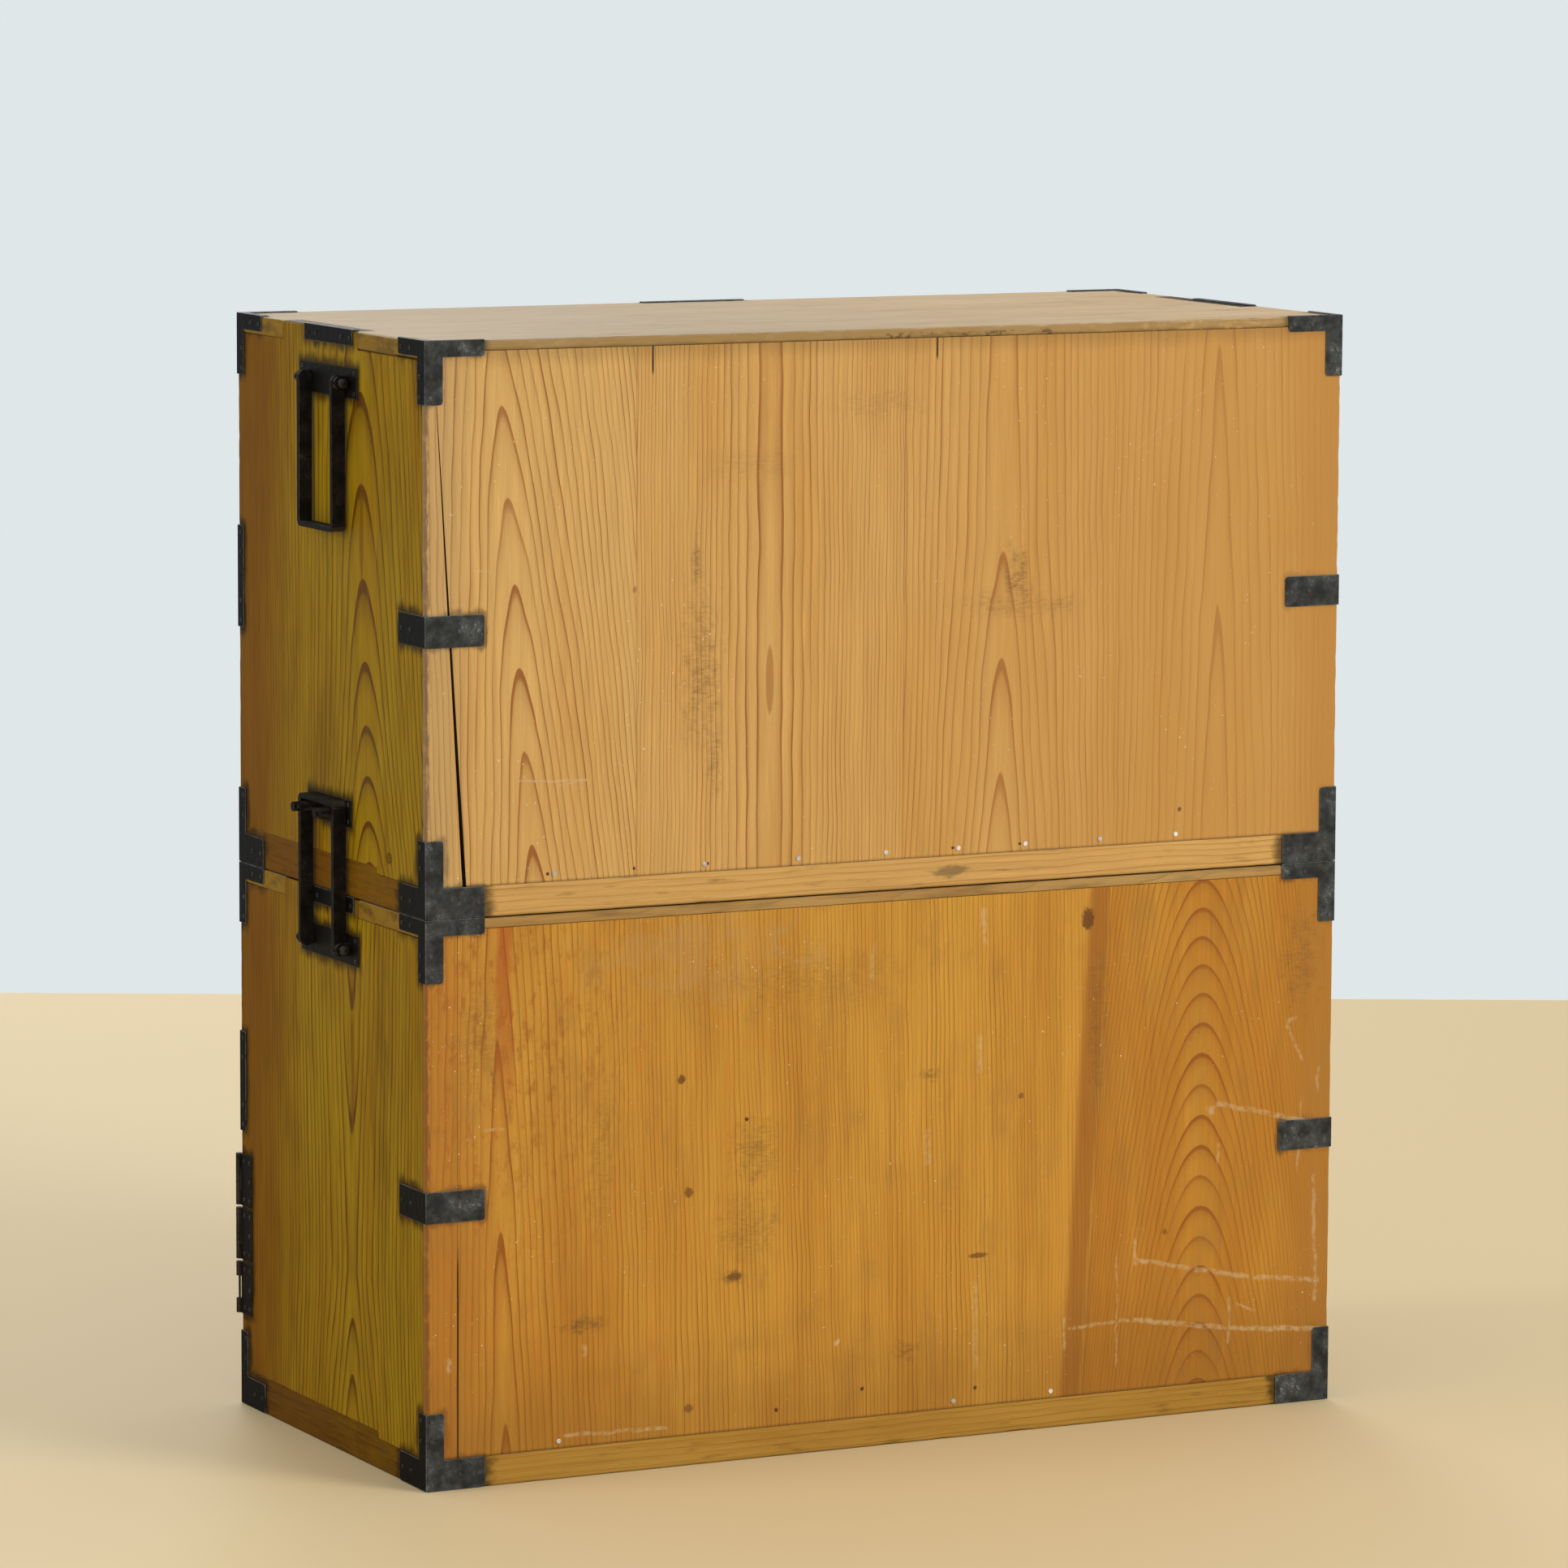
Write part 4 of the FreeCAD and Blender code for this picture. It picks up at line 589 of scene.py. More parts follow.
def lower_back():
    boards = [
        (None, grain(402, 0.02, 8, 0.05, 60, 8.5, 0.15, 0.25)),
        ((LOWER_SEAMS[0], 0), grain(402, 0.02, 8, 0.05, 60, 8.5, 0.15, 0.0)),
        ((LOWER_SEAMS[1], 0), grain(520, 0.03, 10, 0.02, 60, 15.0, 0.4, -0.2)),
        ((LOWER_SEAMS[2], 0), grain(430, 0.02, 10, 0.02, 60, 19.0, 0.1, -0.2)),
        ((LEANING_SEAM, SEAM_LEAN), grain(-332, 0, 100, 0.179, 300, 5.0, 0.7, 0.45)),
    ]
    wood = back_wood("lower_back_wood", boards, (LOW_EARLY, LOW_LATE, LOW_AGED), LOWER_MIDDLE, 320)
    g = wood.g
    seam = g.x - (g.z - LOWER_MIDDLE) * SEAM_LEAN
    wander = g.noise(g.x / 8, 9.9, g.z / 60, 3) * 9
    wood.tint(g.ramp(abs(seam + 206) + wander, 16, 7) * 0.7, linear(146, 84, 18))
    wood.tint(g.ramp(abs(seam + 186) + wander, 16, 6) * 0.3, linear(206, 146, 52))
    grey = g.spot(g.x, g.z, (205, 478), (110, 46)) + g.noise(g.x / 26, 5.5, g.z / 20, 4, 0.6) * 4
    wood.tint(g.ramp(grey, 1.1, 0.0) * 0.28, linear(178, 146, 96))
    red = g.ramp(g.noise(g.x / 7, 1.5, g.z / 16, 4, 0.65), 0.0, 0.2)
    wood.darken(red * g.ramp(g.x, 190, 400) * g.ramp(g.z, 90, 420) * 0.6, linear(146, 76, 20))
    flame = abs(g.x - 398 + g.noise(1.1, 2.4, g.z / 60, 2) * 26)
    flame = g.ramp(flame + g.noise(g.x / 4, 3.2, g.z / 20, 3) * 10, 11, 3)
    wood.tint(flame * g.ramp(g.z, 300, 460) * 0.6, linear(170, 78, 22))
    wood.tint(g.ramp(g.x, 380, 470) * 0.4, linear(166, 104, 34))
    # Painted shade: the split beside the open seam is darkened nearly black, standing in for the
    # shade inside it.
    crack = g.ramp(abs(g.x - 444.9), 1.2, 0.5) * g.ramp(g.z, 235, 200)
    wood.darken(crack * 0.9, linear(26, 16, 6))
    dull = g.ramp(g.noise(g.x / 34, 8.5, g.z / 60, 4, 0.6), 0.0, 0.26)
    wood.tint(dull * 0.4, linear(156, 112, 50))
    warm = g.ramp(g.noise(g.x / 20, 1.9, g.z / 70, 3), 0.02, 0.26) * g.ramp(g.x, -150, 300)
    wood.tint(warm * 0.3, linear(196, 116, 34))
    foot = g.ramp(g.z + g.noise(g.x / 70, 4.6, g.z / 30, 3) * 90, 150, 30)
    wood.darken(foot * 0.3, linear(112, 72, 22))
    back_marks(wood, LOWER_KNOTS, LOWER_SMUDGES, LOWER_SCRATCHES, 0.8)
    wood.darken(g.ramp(g.z, 31.5, 28.2) * 0.6, linear(50, 30, 10))
    return wood.done()


def climbing_twice(g):
    """How the rings climb on the upper end, where the arches crowd towards the foot."""
    lower = g.math("MAXIMUM", UPPER_MIDDLE - g.z, 0.0)
    return g.z - UPPER_MIDDLE - lower * lower / 250


def turning(g):
    """How the rings climb on the lower end, where the grain is a V above and an arch below."""
    height = (g.z - 175) / 60
    steeper = g.math("MINIMUM", height, 0.0) * 90
    return steeper - g.math("SQRT", height * height + 1) * 60


# More than any stain's width: it keeps an iron on one half of an end from staining the other.
FAR_OFF = 400


def side_wood(name, board, middle, lines, rise):
    """An end's board with the oil, soil and stains that all four have."""
    wood = Wood(name, (SIDE_EARLY, SIDE_LATE, SIDE_AGED), [(None, board)], lambda g: g.y,
                lambda g: HALF_WIDTH - abs(g.x), lambda g: g.z - middle, lines, tighten=300,
                gloss=0.03, rise=rise)
    upper = middle == UPPER_MIDDLE
    g = wood.g
    front = g.y + g.noise(1.5, g.y / 30, g.z / 140, 3) * 110
    wood.tint(g.ramp(front, -30, -190) * 0.75, linear(108, 60, 3))
    # Painted light: the -X end is tinted paler and less saturated than the +X end, whose saturated
    # olive carries painted shade, so the two ends are a lit and a shaded copy of one wood.
    wood.tint(g.below(g.x, 0.0) * 0.4, linear(156, 116, 62))
    edge = HALF_DEPTH - abs(g.y)
    not_front = g.math("GREATER_THAN", g.y, 0.0) * FAR_OFF
    not_back = FAR_OFF - not_front
    not_right = g.below(g.x, 0.0) * FAR_OFF
    middle_gap, level = abs(g.y), fold(g, g.z)
    others = [
        g.gap(middle_gap, level, EDGE_STRAP, HEAD),
        g.gap(edge, level, ARM, STRAP) + not_back,
        g.gap(edge, g.z, (-5, 13), (751, 849) if upper else (266, 364)) + not_front,
        g.gap(middle_gap, g.z, HANDLE_PLATE, (987, 1015) if upper else (463, 491)),
    ]
    if upper:
        others.append(g.gap(middle_gap, g.z, CATCH_PLATE, (591, 616)))
    else:
        others.append(g.gap(edge, g.z, (-5, 25), (88, 244)) + not_front + not_right)
    wood.darken(iron_stain(g, edge, others, 12) * 0.85, linear(24, 18, 8))
    worn = g.ramp(edge + g.noise(g.y / 3, 2.2, g.z / 12, 4, 0.6) * 12, 3.5, 0.2)
    wood.darken(worn * 0.55, linear(58, 38, 8))
    grime = g.ramp(g.noise(5.5, g.y / 50, g.z / 120, 3), 0.05, 0.3)
    wood.darken(grime * 0.3, linear(76, 50, 4))
    mottle = g.ramp(g.noise(2.7, g.y / 13, g.z / 80, 4, 0.6), -0.12, 0.24)
    wood.darken(mottle * 0.32, linear(88, 58, 3))
    streaks = g.ramp(g.noise(3.3, g.y / 1.8, g.z / 60, 3, 0.6), 0.04, 0.24)
    wood.darken(streaks * 0.4, linear(72, 46, 3))
    pale = g.ramp(g.noise(8.3, g.y / 2.4, g.z / 90, 3, 0.6), 0.06, 0.26) * g.ramp(g.y, -60, 40)
    wood.tint(pale * 0.4, linear(172, 142, 30))
    if upper:
        knot = g.spot(g.y, g.z, (135, 573), (6, 5)) + g.noise(g.y / 3, g.z / 3, 1.8, 2) * 0.5
        wood.darken(g.ramp(knot, 1.3, 0.8) * g.ramp(knot, 0.3, 0.7) * 0.7, linear(62, 32, 4))
        wood.darken(g.ramp(knot, 0.5, 0.1) * 0.8, linear(70, 36, 6))
        wedge = abs(g.y - 74) - g.ramp(abs(g.z - 862), 60, 0) * 4.5
        wood.tint(g.ramp(wedge, 0.8, -0.4) * 0.65, linear(112, 70, 6))
    else:
        wedge = abs(g.y - 50 + (g.z - 360) * 0.02) - (g.z - 306) * 0.042
        wood.tint(g.ramp(wedge, 0.8, -0.6) * g.ramp(g.z, 428, 400) * 0.8, linear(116, 70, 6))
    wood.end_grain("z")
    wood.rough = wood.rough - 0.08
    return wood.done(0.3)


def upper_side():
    board = grain(79, -0.05, 60, 0.15, 110, 14.0, 0.78, -0.2)
    return side_wood("upper_side_wood", board, UPPER_MIDDLE, 1.1, climbing_twice)


def lower_side():
    board = grain(48, 0, 12, 0.12, 110, 14.0, 0.3, -0.15)
    return side_wood("lower_side_wood", board, LOWER_MIDDLE, 1.3, turning)


def oiled_ends(wood):
    """A top board's two end faces, oiled and soiled as the chest's ends are."""
    g = wood.g
    ends = g.ramp(g.facing[0], 0.6, 0.8)
    wood.tint(ends * 0.9, linear(162, 130, 8))
    stain = g.ramp(g.noise(5.2, g.y / 22, g.z / 9, 4, 0.6), -0.08, 0.24) * ends
    wood.darken(stain * 0.6, linear(44, 32, 6))
    wood.end_grain("x", linear(190, 170, 130))


def top_wood():
    boards = [(None, grain(-60, 0.02, 30, 0.012, 120, 5.5, 0.2, 0.0))]
    tones = (linear(216, 190, 148), linear(164, 130, 88), linear(198, 164, 118))
    wood = Wood("top_wood", tones, boards, lambda g: g.y, lambda g: HIGHEST - g.z, lambda g: g.x,
                0.7, gloss=0.12)
    g = wood.g
    greyed = g.ramp(g.x + g.noise(g.x / 60, g.y / 12, 2.6, 3) * 300, -380, 260)
    wood.tint(greyed * 0.75, linear(168, 146, 112))
    brown = g.ramp(g.noise(g.x / 150, g.y / 4, 3.4, 3, 0.6), 0.02, 0.22)
    wood.tint(brown * 0.55, linear(150, 116, 80))
    bleached = g.ramp(g.noise(g.x / 130, g.y / 3, 8.8, 3, 0.6), 0.04, 0.24)
    wood.tint(bleached * 0.45, linear(222, 204, 172))
    edge = HALF_WIDTH - abs(g.x)
    depth_edge = HALF_DEPTH - abs(g.y)
    on_top = g.ramp(g.normal[2], 0.4, 0.8)
    wood.tint(g.ramp(on_top, 0.9, 0.1) * 0.7, linear(176, 140, 74))
    strip = g.ramp(g.z + g.noise(g.x / 25, 3.3, 1.1, 2) * 5, 1043, 1040) * g.ramp(on_top, 0.9, 0.1)
    wood.darken(strip * 0.45, linear(96, 74, 34))
    gaps = [
        g.gap(edge, depth_edge, ARM, (-5, 7)),
        g.gap(edge, depth_edge, (-5, 7), ARM),
        g.gap(edge, abs(g.y), (-5, 8), EDGE_STRAP),
        g.gap(HALF_DEPTH + g.y, abs(g.x), (-5, 8), EDGE_STRAP),
    ]
    near = g.smallest(*gaps) + g.noise(g.x / 12, g.y / 12, 1.3, 3) * 20
    wood.darken(g.ramp(near, 9, 0.5) * 0.7, linear(58, 48, 38))
    stain = g.ramp(g.noise(g.x / 80, g.y / 30, 6.1, 3), 0.06, 0.3)
    wood.darken(stain * 0.4, linear(110, 92, 78))
    rim = g.ramp(depth_edge + g.noise(g.x / 12, 1.4, g.z / 5, 3) * 8, 4, 0.0)
    wood.darken(rim * 0.35, linear(112, 82, 44))
    back = g.ramp(g.y, 209, 213)
    torn = g.ramp(g.noise(g.x / 9, 7.4, g.z / 3, 3), -0.1, 0.12)
    thin = g.ramp(g.z + g.noise(g.x / 6, 5.5, 0.7, 3) * 5, 1039.5, 1037)
    splinter = g.ramp(abs(g.x + 50), 44, 26) * g.largest(torn * 0.4, thin)
    chips = g.ramp(g.noise(g.x / 7, 9.4, g.z / 4, 3), 0.04, 0.16) * g.ramp(abs(g.x + 85), 125, 90)
    low = g.ramp(g.z, 1046, 1043)
    wood.darken(g.largest(splinter * 0.85, chips * 0.6) * back * low, linear(58, 38, 20))
    pale_chips = g.ramp(g.noise(g.x / 8, 3.4, g.z / 4, 3), 0.0, 0.14)
    wood.tint(pale_chips * g.ramp(abs(g.x + 325), 80, 60) * back * 0.3, linear(212, 172, 112))
    oiled_ends(wood)
    return wood.done()


def lower_top_wood():
    boards = [(None, grain(-30, 0.02, 25, 0.012, 120, 5.5, 0.6, 0.1))]
    tones = (linear(190, 156, 100), linear(140, 104, 52), linear(160, 120, 62))
    wood = Wood("lower_top_wood", tones, boards, lambda g: g.y, lambda g: LOWER_TOP - g.z,
                lambda g: g.x, 0.45, gloss=0.1)
    g = wood.g
    soiled = g.ramp(g.noise(g.x / 50, g.y / 30, g.z / 8, 3), -0.05, 0.3)
    wood.darken(soiled * 0.45, linear(84, 68, 44))
    oiled_ends(wood)
    return wood.done()


def rail_wood(name, tones, low, oil, smeared=False):
    """The base rails. low is their underside, and oil is the colour of the finish at the ends."""
    boards = [(None, grain(low - 30, 0.01, 40, 0.01, 120, 6.4, 0.2, 0.0))]
    wood = Wood(name, tones, boards, lambda g: g.z,
                lambda g: HALF_DEPTH - abs(g.y), lambda g: g.x + g.y, 0.5, gloss=0.04)
    g = wood.g
    sides = g.ramp(g.facing[0], 0.4, 0.6)
    wood.tint(sides, oil, "MULTIPLY")
    front = g.ramp(g.y + g.noise(1.2, g.y / 20, g.z / 6, 2) * 60, 40, -20)
    wood.tint(sides * front * 0.4, linear(92, 52, 6))
    soiled = g.ramp(g.noise(2.2, g.y / 60, g.z / 3, 4, 0.6), -0.06, 0.24) * sides
    wood.darken(soiled * 0.5, linear(52, 34, 4))
    endways = g.math("GREATER_THAN", g.facing[0], 0.5)
    edge = g.blend(endways, HALF_WIDTH - abs(g.x), HALF_DEPTH - abs(g.y))
    arms = g.gap(edge, g.z, ARM, [low + z for z in FOOT])
    ragged = g.noise(g.x / 16, g.y / 16, g.z / 8, 3) * 22
    wood.darken(g.ramp(arms + ragged, 13, 1) * 0.75, linear(30, 22, 10))
    grime = g.ramp(g.noise(g.x / 45, g.y / 45, g.z / 9, 3), 0.08, 0.3)
    wood.darken(grime * 0.5, linear(70, 50, 26))
    if smeared:
        smear = g.spot(g.x, g.z, (-60, 540), (22, 6)) + g.noise(g.x / 9, 4.1, g.z / 5, 3) * 1.6
        wood.darken(g.ramp(smear, 1.2, 0.4) * 0.6, linear(84, 76, 60))
    wood.darken(g.ramp(g.z, low + 3, low) * 0.45, linear(56, 38, 18))
    return wood.done()


def plain_wood(name, tones, grain_along, size=5.0, stain=0.0):
    """Bare boards inside, and the drawers' own wood."""
    axes = {"x": ("y", "z", "x"), "y": ("x", "z", "y"), "z": ("x", "y", "z")}[grain_along]
    boards = [(None, grain(35, 0.03, 45, 0.01, 120, size, 0.2, 0.0))]
    wood = Wood(name, tones, boards, *[lambda g, a=a: getattr(g, a) for a in axes])
    g = wood.g
    if stain:
        soiled = g.ramp(g.noise(g.x / 60, g.y / 60, g.z / 60, 3), 0.0, 0.3)
        wood.darken(soiled * stain, linear(70, 48, 28))
    wood.end_grain(grain_along)
    return wood.done()


def front_wood(name, grain_along):
    """Drawer fronts and the door: dark, wiped lacquer over wood, worn through at the edges."""
    axes = {"x": ("z", "y", "x"), "z": ("x", "y", "z")}[grain_along]
    boards = [(None, grain(500, 0.01, 60, 0.02, 200, 7.0, 0.3, 0.1))]
    tones = (linear(146, 88, 44), linear(82, 42, 20), linear(118, 66, 30))
    wood = Wood(name, tones, boards, *[lambda g, a=a: getattr(g, a) for a in axes])
    g = wood.g
    outside = g.ramp(g.y, -200, -214)
    wood.tint(g.ramp(outside, 0.7, 0.2), linear(176, 140, 92))
    soiled = g.ramp(g.noise(g.x / 90, g.y / 90, g.z / 60, 3), 0.0, 0.3)
    wood.darken(soiled * 0.4, linear(48, 24, 12))
    wood.rough = wood.rough - 0.2
    return wood.done(0.2)


# ------------------------------------------------------------------ iron
def iron(name, base=(74, 76, 75), rust=0.35, rough=0.5, gloss=0.025, ends=0.0):
    """Forged and blackened iron, lighter on its edges and high places, with brown rust. That
    lightness is partly wear and partly painted highlight and sheen.
    ends is how far it is darkened where it faces the chest's ends, a painted shade on those faces."""
    g = Graph(name)
    cloud = g.noise(g.x / 14, g.y / 14, g.z / 14, 4, 0.6)
    fine = g.noise(g.x / 1.8, g.y / 1.8, g.z / 1.8, 3, 0.6)
    dents = g.noise(g.x / 6, g.y / 6, g.z / 6, 2)
    pale = linear(*[min(c * 1.75 + 12, 250) for c in base])
    colour = g.mix(g.ramp(cloud, -0.2, 0.22), linear(*[c * 0.6 for c in base]), linear(*base))
    # Paler patches, partly wear and partly painted sheen.
    colour = g.mix(g.ramp(fine + cloud, 0.1, 0.4) * 0.5, colour, pale)
    rusty = g.ramp(g.noise(g.x / 9, g.y / 9, g.z / 9, 4, 0.65), 0.08, 0.3)
    colour = g.mix(rusty * rust, colour, linear(88, 60, 36))
    # Painted shade: faces that face the chest's ends are darkened towards black, by as much as
    # ends.
    colour = g.mix(g.ramp(g.facing[0], 0.6, 0.9) * ends, colour, linear(14, 13, 11))
    squareness = g.largest(*g.facing)
    # Painted highlight and wear: the bevelled edges, which lie off square to the axes, are made
    # paler.
    edge_wear_and_highlight = g.ramp(squareness, 0.985, 0.9) * g.ramp(cloud + fine, -0.3, 0.1)
    colour = g.mix(edge_wear_and_highlight * 0.45, colour, pale)
    g.shader.inputs["Specular IOR Level"].default_value = gloss
    return g.finish(colour, rough + cloud * 0.3 + fine * 0.12, dents * 1.2 + fine * 0.35, 0.5)


INNER_TONES = (linear(198, 168, 118), linear(158, 118, 70), linear(184, 146, 94))
DRAWER_TONES = (linear(206, 180, 134), linear(170, 134, 86), linear(190, 156, 106))
UPPER_RAIL_TONES = (UP_EARLY, UP_LATE, linear(198, 154, 92))
LOWER_RAIL_TONES = (linear(182, 142, 66), linear(130, 92, 34), linear(160, 116, 44))

MATERIALS = {
    "upper_back": upper_back(),
    "lower_back": lower_back(),
    "upper_side": upper_side(),
    "lower_side": lower_side(),
    "top": top_wood(),
    "lower_top": lower_top_wood(),
    "upper_rail": rail_wood("upper_rail_wood", UPPER_RAIL_TONES, UPPER_BASE,
                            linear(147, 132, 46), smeared=True),
    "lower_rail": rail_wood("lower_rail_wood", LOWER_RAIL_TONES, 0, linear(162, 150, 40)),
    "inner_x": plain_wood("inner_wood_x", INNER_TONES, "x"),
    "inner_z": plain_wood("inner_wood_z", INNER_TONES, "z"),
    "drawer": plain_wood("drawer_wood", DRAWER_TONES, "y", 4.5, 0.3),
    "front_x": front_wood("front_wood_x", "x"),
    "front_z": front_wood("front_wood_z", "z"),
    "iron": iron("iron_sheet", ends=0.95),
    "iron_dark": iron("iron_forged", (42, 38, 34), 0.15, 0.5, 0.03, 0.85),
    # Partly painted highlight: these nail heads are lighter than the sheet, for wear and for the
    # glint on their small domes.
    "brad": iron("iron_nail_heads", (92, 94, 94), 0.25, 0.4, ends=0.8),
    # Painted highlight: the back's nail heads are near white, for the glint on their small domes.
    "nail": iron("nail_heads", (250, 246, 236), 0.05, 0.4, 0.4),
}

RECORD = frame["record"]
BODY_OF = {node: body for body, nodes in RECORD["behaviour"]["bodies"].items() for node in nodes}
SLOT_OF = {part["node"]: part["material_slot"] for part in RECORD["subparts"]}


def material_of(node):
    for kind in ("upper", "lower"):
        if node == f"{kind}_back_boards":
            return MATERIALS[f"{kind}_back"]
        if node.startswith(f"{kind}_side_"):
            return MATERIALS[f"{kind}_side"]
        if node == f"{kind}_base_rails":
            return MATERIALS[f"{kind}_rail"]
    if node == "upper_top_board":
        return MATERIALS["top"]
    if node == "lower_top_board":
        return MATERIALS["lower_top"]
    slot = SLOT_OF[node]
    if slot == "inner_wood":
        return MATERIALS["inner_z" if node == "safe_partition" else "inner_x"]
    if slot == "front_wood":
        return MATERIALS["front_z" if node == "safe_door" else "front_x"]
    if slot == "drawer_wood":
        return MATERIALS["drawer"]
    if node == "back_nails":
        return MATERIALS["nail"]
    if node == "iron_nails":
        return MATERIALS["brad"]
    if "handle" in node or "bail" in node or "hinge" in node or "leaves" in node:
        return MATERIALS["iron_dark"]
    return MATERIALS["iron"]


def give_material(obj, material):
    obj.data.materials.clear()
    obj.data.materials.append(material)


# ------------------------------------------------------------------ worn boards and forged irons
# Metres: points that are one point, a face's spread when it lies square to an axis, an edge that is
# too short to keep, and how near its face a point lies in it.
JOINED, SQUARE, TINY, IN_FACE = 1e-6, 3e-6, 5e-6, 2e-5
FLAT, SHARP, OUTLINE, CREASE = (math.radians(angle) for angle in (0.6, 40, 60, 50))


def copied(node):
    """The node's own shape as an editable mesh with its split corners joined again."""
    mesh = bmesh.new()
    mesh.from_mesh(frame["nodes"][node].data)
    bmesh.ops.remove_doubles(mesh, verts=mesh.verts, dist=JOINED)
    bmesh.ops.dissolve_limit(mesh, angle_limit=FLAT, verts=mesh.verts, edges=mesh.edges)
    return mesh


def outside(edge):
    """True for an edge that lies on the outside of the back's corners, so not on a seam."""
    return all(abs(v.co.x) > (HALF_WIDTH - 2) * MM for v in edge.verts)


def bevel(mesh, edges, width, segments):
    bmesh.ops.bevel(mesh, geom=edges, offset=width, offset_type="OFFSET", segments=segments,
                    profile=0.5, affect="EDGES", clamp_overlap=False)


def soften(mesh, width, shortest, chosen=None):
    """Rounds the sharp outer edges that are long enough to be a board's or an iron's own."""
    edges = [e for e in mesh.edges
             if len(e.link_faces) == 2 and e.is_convex and e.calc_length() > shortest
             and e.calc_face_angle() > SHARP and (chosen is None or chosen(e))]
    bevel(mesh, edges, width, 2)


# The sheet's thickness and what an edge may differ from it, and how many radii a side needs.
SHEET, SHEET_DOUBT = 1.2, 0.05
ROOM = 2.5


def round_corners(mesh, radius):
    """Rounds the corners of a sheet's outline, which are edges as long as the sheet is thick, where
    the sides that meet there are long enough for it."""
    def is_corner(edge):
        if len(edge.link_faces) != 2 or not edge.is_convex or edge.calc_face_angle() <= OUTLINE:
            return False
        if abs(edge.calc_length() - SHEET * MM) >= SHEET_DOUBT * MM:
            return False
        sides = [side for v in edge.verts for side in v.link_edges if side != edge]
        return all(side.calc_length() > ROOM * radius for side in sides)

    bevel(mesh, [e for e in mesh.edges if is_corner(e)], radius, 3)


# Seams that are closed, as x at the foot and at the head, and the heights that these are at.
CLOSED_SEAMS = {
    "upper_back_boards": [(x, x) for x in UPPER_SEAMS],
    "lower_back_boards": [(x, x) for x in LOWER_SEAMS[1:]] + [(-205, -233)],
}
SEAM_FOOT, SEAM_HEAD = 28.5, 515.5
SEAM_GAP, SEAM_REACH = 0.3, 0.4


def close_seams(mesh, node):
    """Brings the two edges of a seam together in its middle."""
    for v in mesh.verts:
        z = v.co.z / MM - (BOX_STEP if v.co.z > BOX_STEP * MM else 0)
        share = (z - SEAM_FOOT) / (SEAM_HEAD - SEAM_FOOT)
        for foot, head in CLOSED_SEAMS[node]:
            middle = foot + (head - foot) * share - SEAM_GAP / 2
            if abs(v.co.x / MM - middle) < SEAM_REACH:
                v.co.x = middle * MM


def slice_along(mesh, axis, step):
    """Cuts the mesh across an axis at even steps, so that its edges can be worn unevenly."""
    places = [v.co[axis] for v in mesh.verts]
    low, high = min(places), max(places)
    normal = Vector([1 if i == axis else 0 for i in range(3)])
    for i in range(1, int((high - low) / step)):
        point = normal * (low + i * step)
        bmesh.ops.bisect_plane(mesh, geom=mesh.verts[:] + mesh.edges[:] + mesh.faces[:],
                               plane_co=point, plane_no=normal, dist=JOINED)


def wear(mesh, band, depth, cell, bias):
    """Moves the vertices along the outer edges inwards by an uneven amount. One that lies in an
    outer face stays in it, so that the face stays flat."""
    low = [min(v.co[i] for v in mesh.verts) for i in range(3)]
    high = [max(v.co[i] for v in mesh.verts) for i in range(3)]
    for v in mesh.verts:
        sides = [(i, 1) for i in range(3) if v.co[i] > high[i] - band]
        sides += [(i, -1) for i in range(3) if v.co[i] < low[i] + band]
        if len(sides) < 2:
            continue
        amount = noise.noise(v.co / cell) + 0.5 * noise.noise(v.co / cell * 3.1) + bias
        amount = max(0.0, amount) * depth
        for i, sign in sides:
            if abs(v.co[i] - (high[i] if sign > 0 else low[i])) > IN_FACE:
                v.co[i] -= sign * amount


def square_normals(data):
    """Gives each face that lies square to an axis exactly that direction, however thin it is."""
    normals = [corner.vector.copy() for corner in data.corner_normals]
    for face in data.polygons:
        places = [data.vertices[i].co for i in face.vertices]
        for axis in range(3):
            values = [place[axis] for place in places]
            if max(values) - min(values) < SQUARE:
                exact = Vector((0, 0, 0))
                exact[axis] = 1 if face.normal[axis] > 0 else -1
                for corner in face.loop_indices:
                    normals[corner] = exact
    data.normals_split_custom_set(normals)


def add_piece(name, mesh, nodes, material):
    """Makes the mesh a piece that takes the place of its CAD nodes."""
    bmesh.ops.dissolve_degenerate(mesh, dist=TINY, edges=mesh.edges)
    data = bpy.data.meshes.new(name)
    mesh.to_mesh(data)
    mesh.free()
    piece = bpy.data.objects.new(name, data)
    bpy.context.scene.collection.objects.link(piece)
    data.materials.append(material)
    data.shade_smooth()
    data.set_sharp_from_angle(angle=CREASE)
    square_normals(data)
    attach(piece, BODY_OF[nodes[0]])
    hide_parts(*nodes)


# How far in from a board's edge it wears, in widths of its rounding, and how long the wear's waves
# are in millimetres. Shorter edges than BOARD_EDGE aren't rounded.
WEAR_BAND, WEAR_CELL = 1.3, 14
BOARD_EDGE = 8


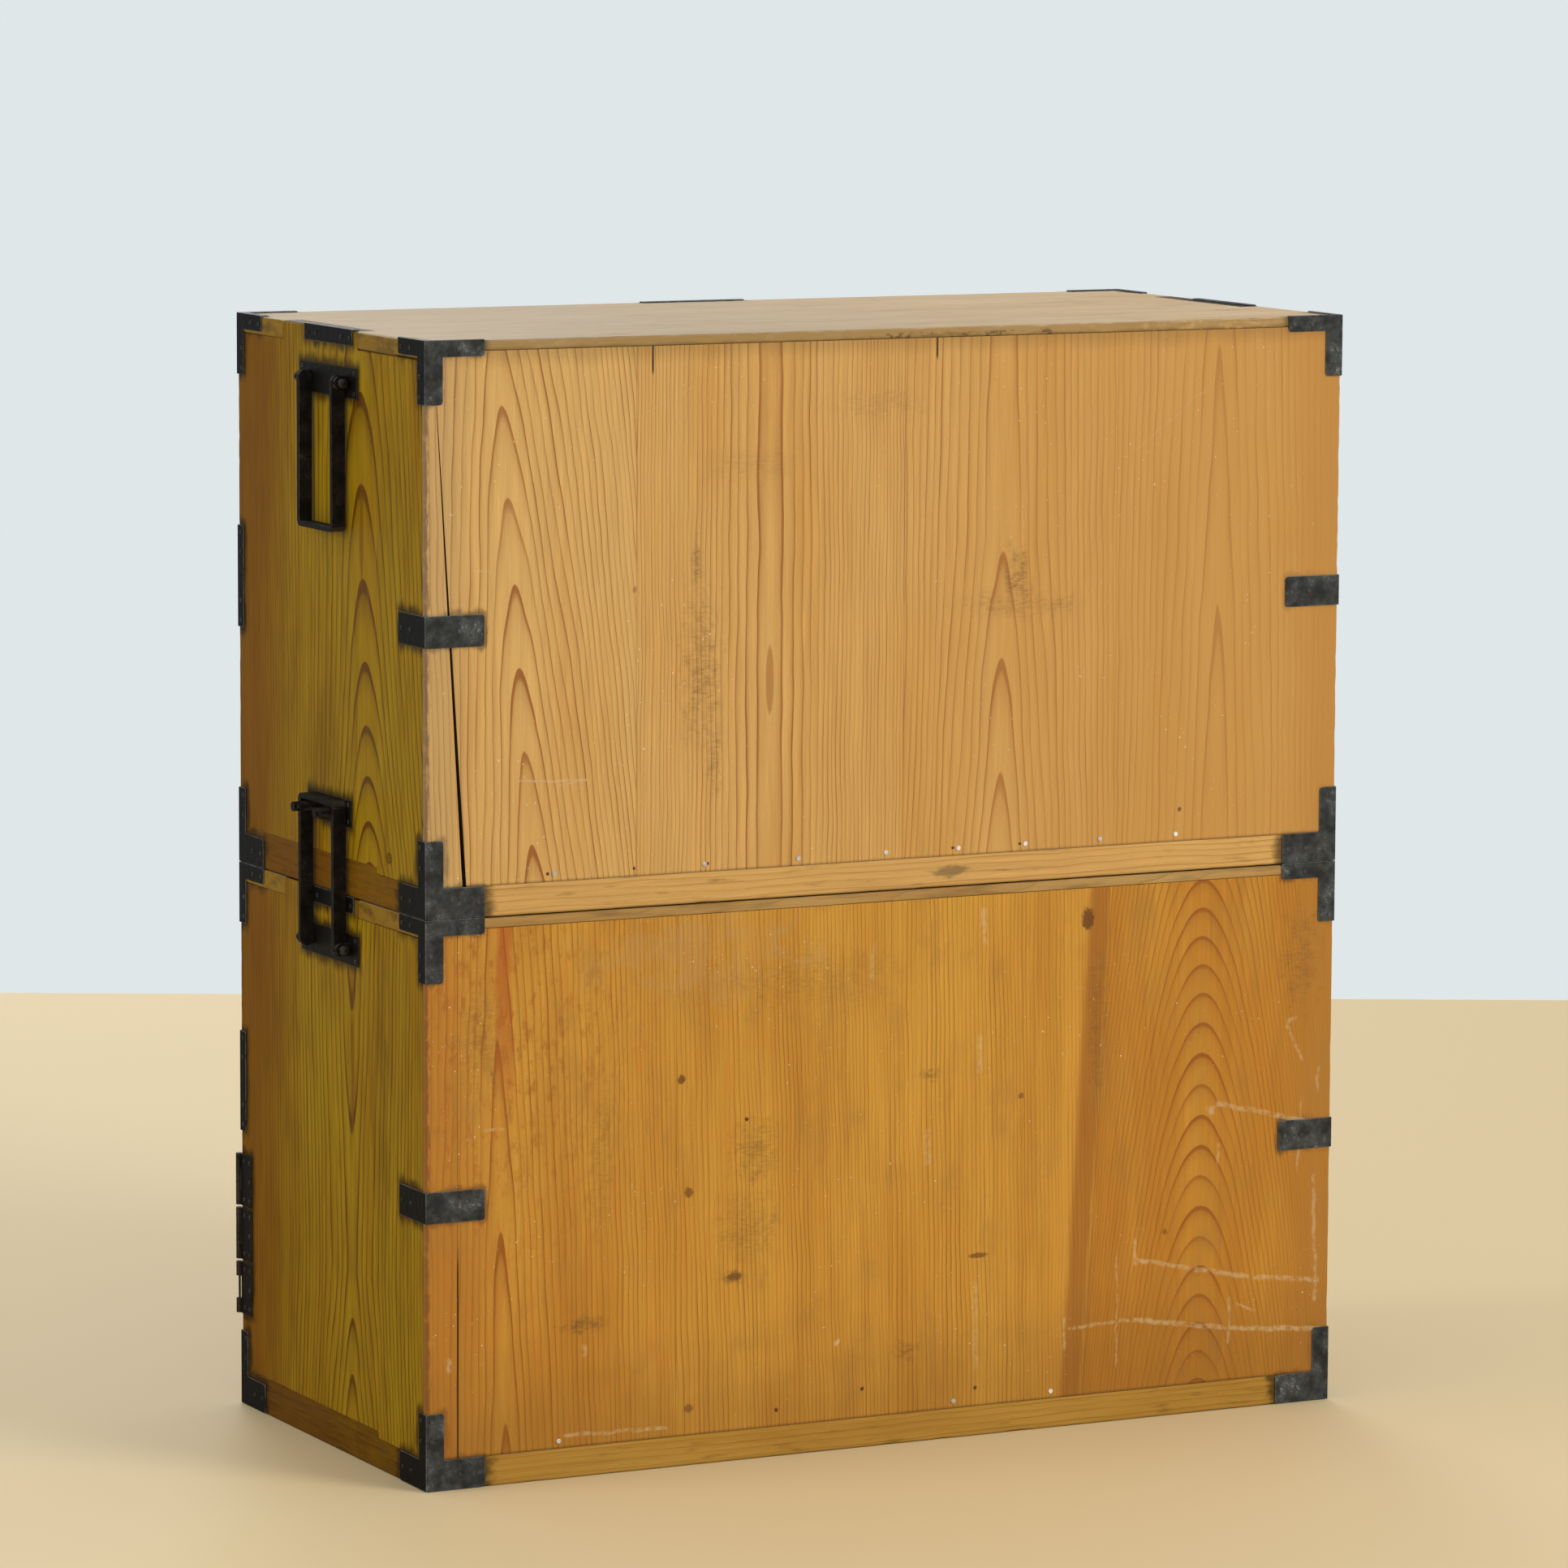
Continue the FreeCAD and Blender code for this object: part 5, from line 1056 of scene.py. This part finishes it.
def worn_board(node, width, slices, depth, bias):
    """A board with its edges rounded to width and worn by up to about depth. slices are the axes
    that it is cut across and at what steps, and bias is how much of the edge wears."""
    mesh = copied(node)
    planks = node in CLOSED_SEAMS
    soften(mesh, width * MM, BOARD_EDGE * MM, outside if planks else None)
    if planks:
        close_seams(mesh, node)
    for axis, step in slices:
        slice_along(mesh, axis, step * MM)
    wear(mesh, width * WEAR_BAND * MM, depth * MM, WEAR_CELL * MM, bias)
    add_piece(f"{node}_worn", mesh, [node], material_of(node))


def forged(node, width=0.5, shortest=3.0, corner=0.0):
    """An iron with its edges rounded to width, and the corners of its outline to corner."""
    mesh = copied(node)
    if corner:
        round_corners(mesh, corner * MM)
    soften(mesh, width * MM, shortest * MM)
    add_piece(f"{node}_forged", mesh, [node], material_of(node))


# Width, slices, depth and bias for worn_board.
BOARDS = {
    "upper_top_board": (1.4, [(0, 6)], 1.6, 0.05),
    "lower_top_board": (1.2, [(0, 9)], 1.0, 0.0),
    "upper_back_boards": (1.2, [(2, 6)], 1.3, 0.0),
    "lower_back_boards": (1.0, [(2, 9)], 0.7, -0.1),
    "upper_side_right": (1.2, [(2, 6)], 1.1, 0.0),
    "upper_side_left": (1.2, [(2, 6)], 1.1, 0.0),
    "lower_side_right": (1.0, [(2, 9)], 0.7, -0.1),
    "lower_side_left": (1.0, [(2, 9)], 0.7, -0.1),
    "upper_base_rails": (1.0, [(0, 12)], 0.7, 0.0),
    "lower_base_rails": (1.2, [(0, 12)], 1.0, 0.0),
}
STRAPS = ["lower_corner_irons", "upper_corner_irons", "corner_straps", "edge_straps"]
FORGED = ["side_handle_plates", "handle_catches", "hinge_case_leaves", "safe_door_leaves"]
BARS = ["lower_right_handle", "lower_left_handle", "upper_right_handle", "upper_left_handle"]

for node, obj in frame["nodes"].items():
    give_material(obj, material_of(node))
for node, (width, slices, depth, bias) in BOARDS.items():
    worn_board(node, width, slices, depth, bias)
for node, slot in SLOT_OF.items():
    if slot == "front_wood":
        worn_board(node, 1.4, (), 0.0, 0.0)
for node in STRAPS:
    forged(node, 0.5, 1.3, 3.0)
for node in FORGED:
    forged(node)
for node in BARS:
    forged(node, 0.9, 4.0)
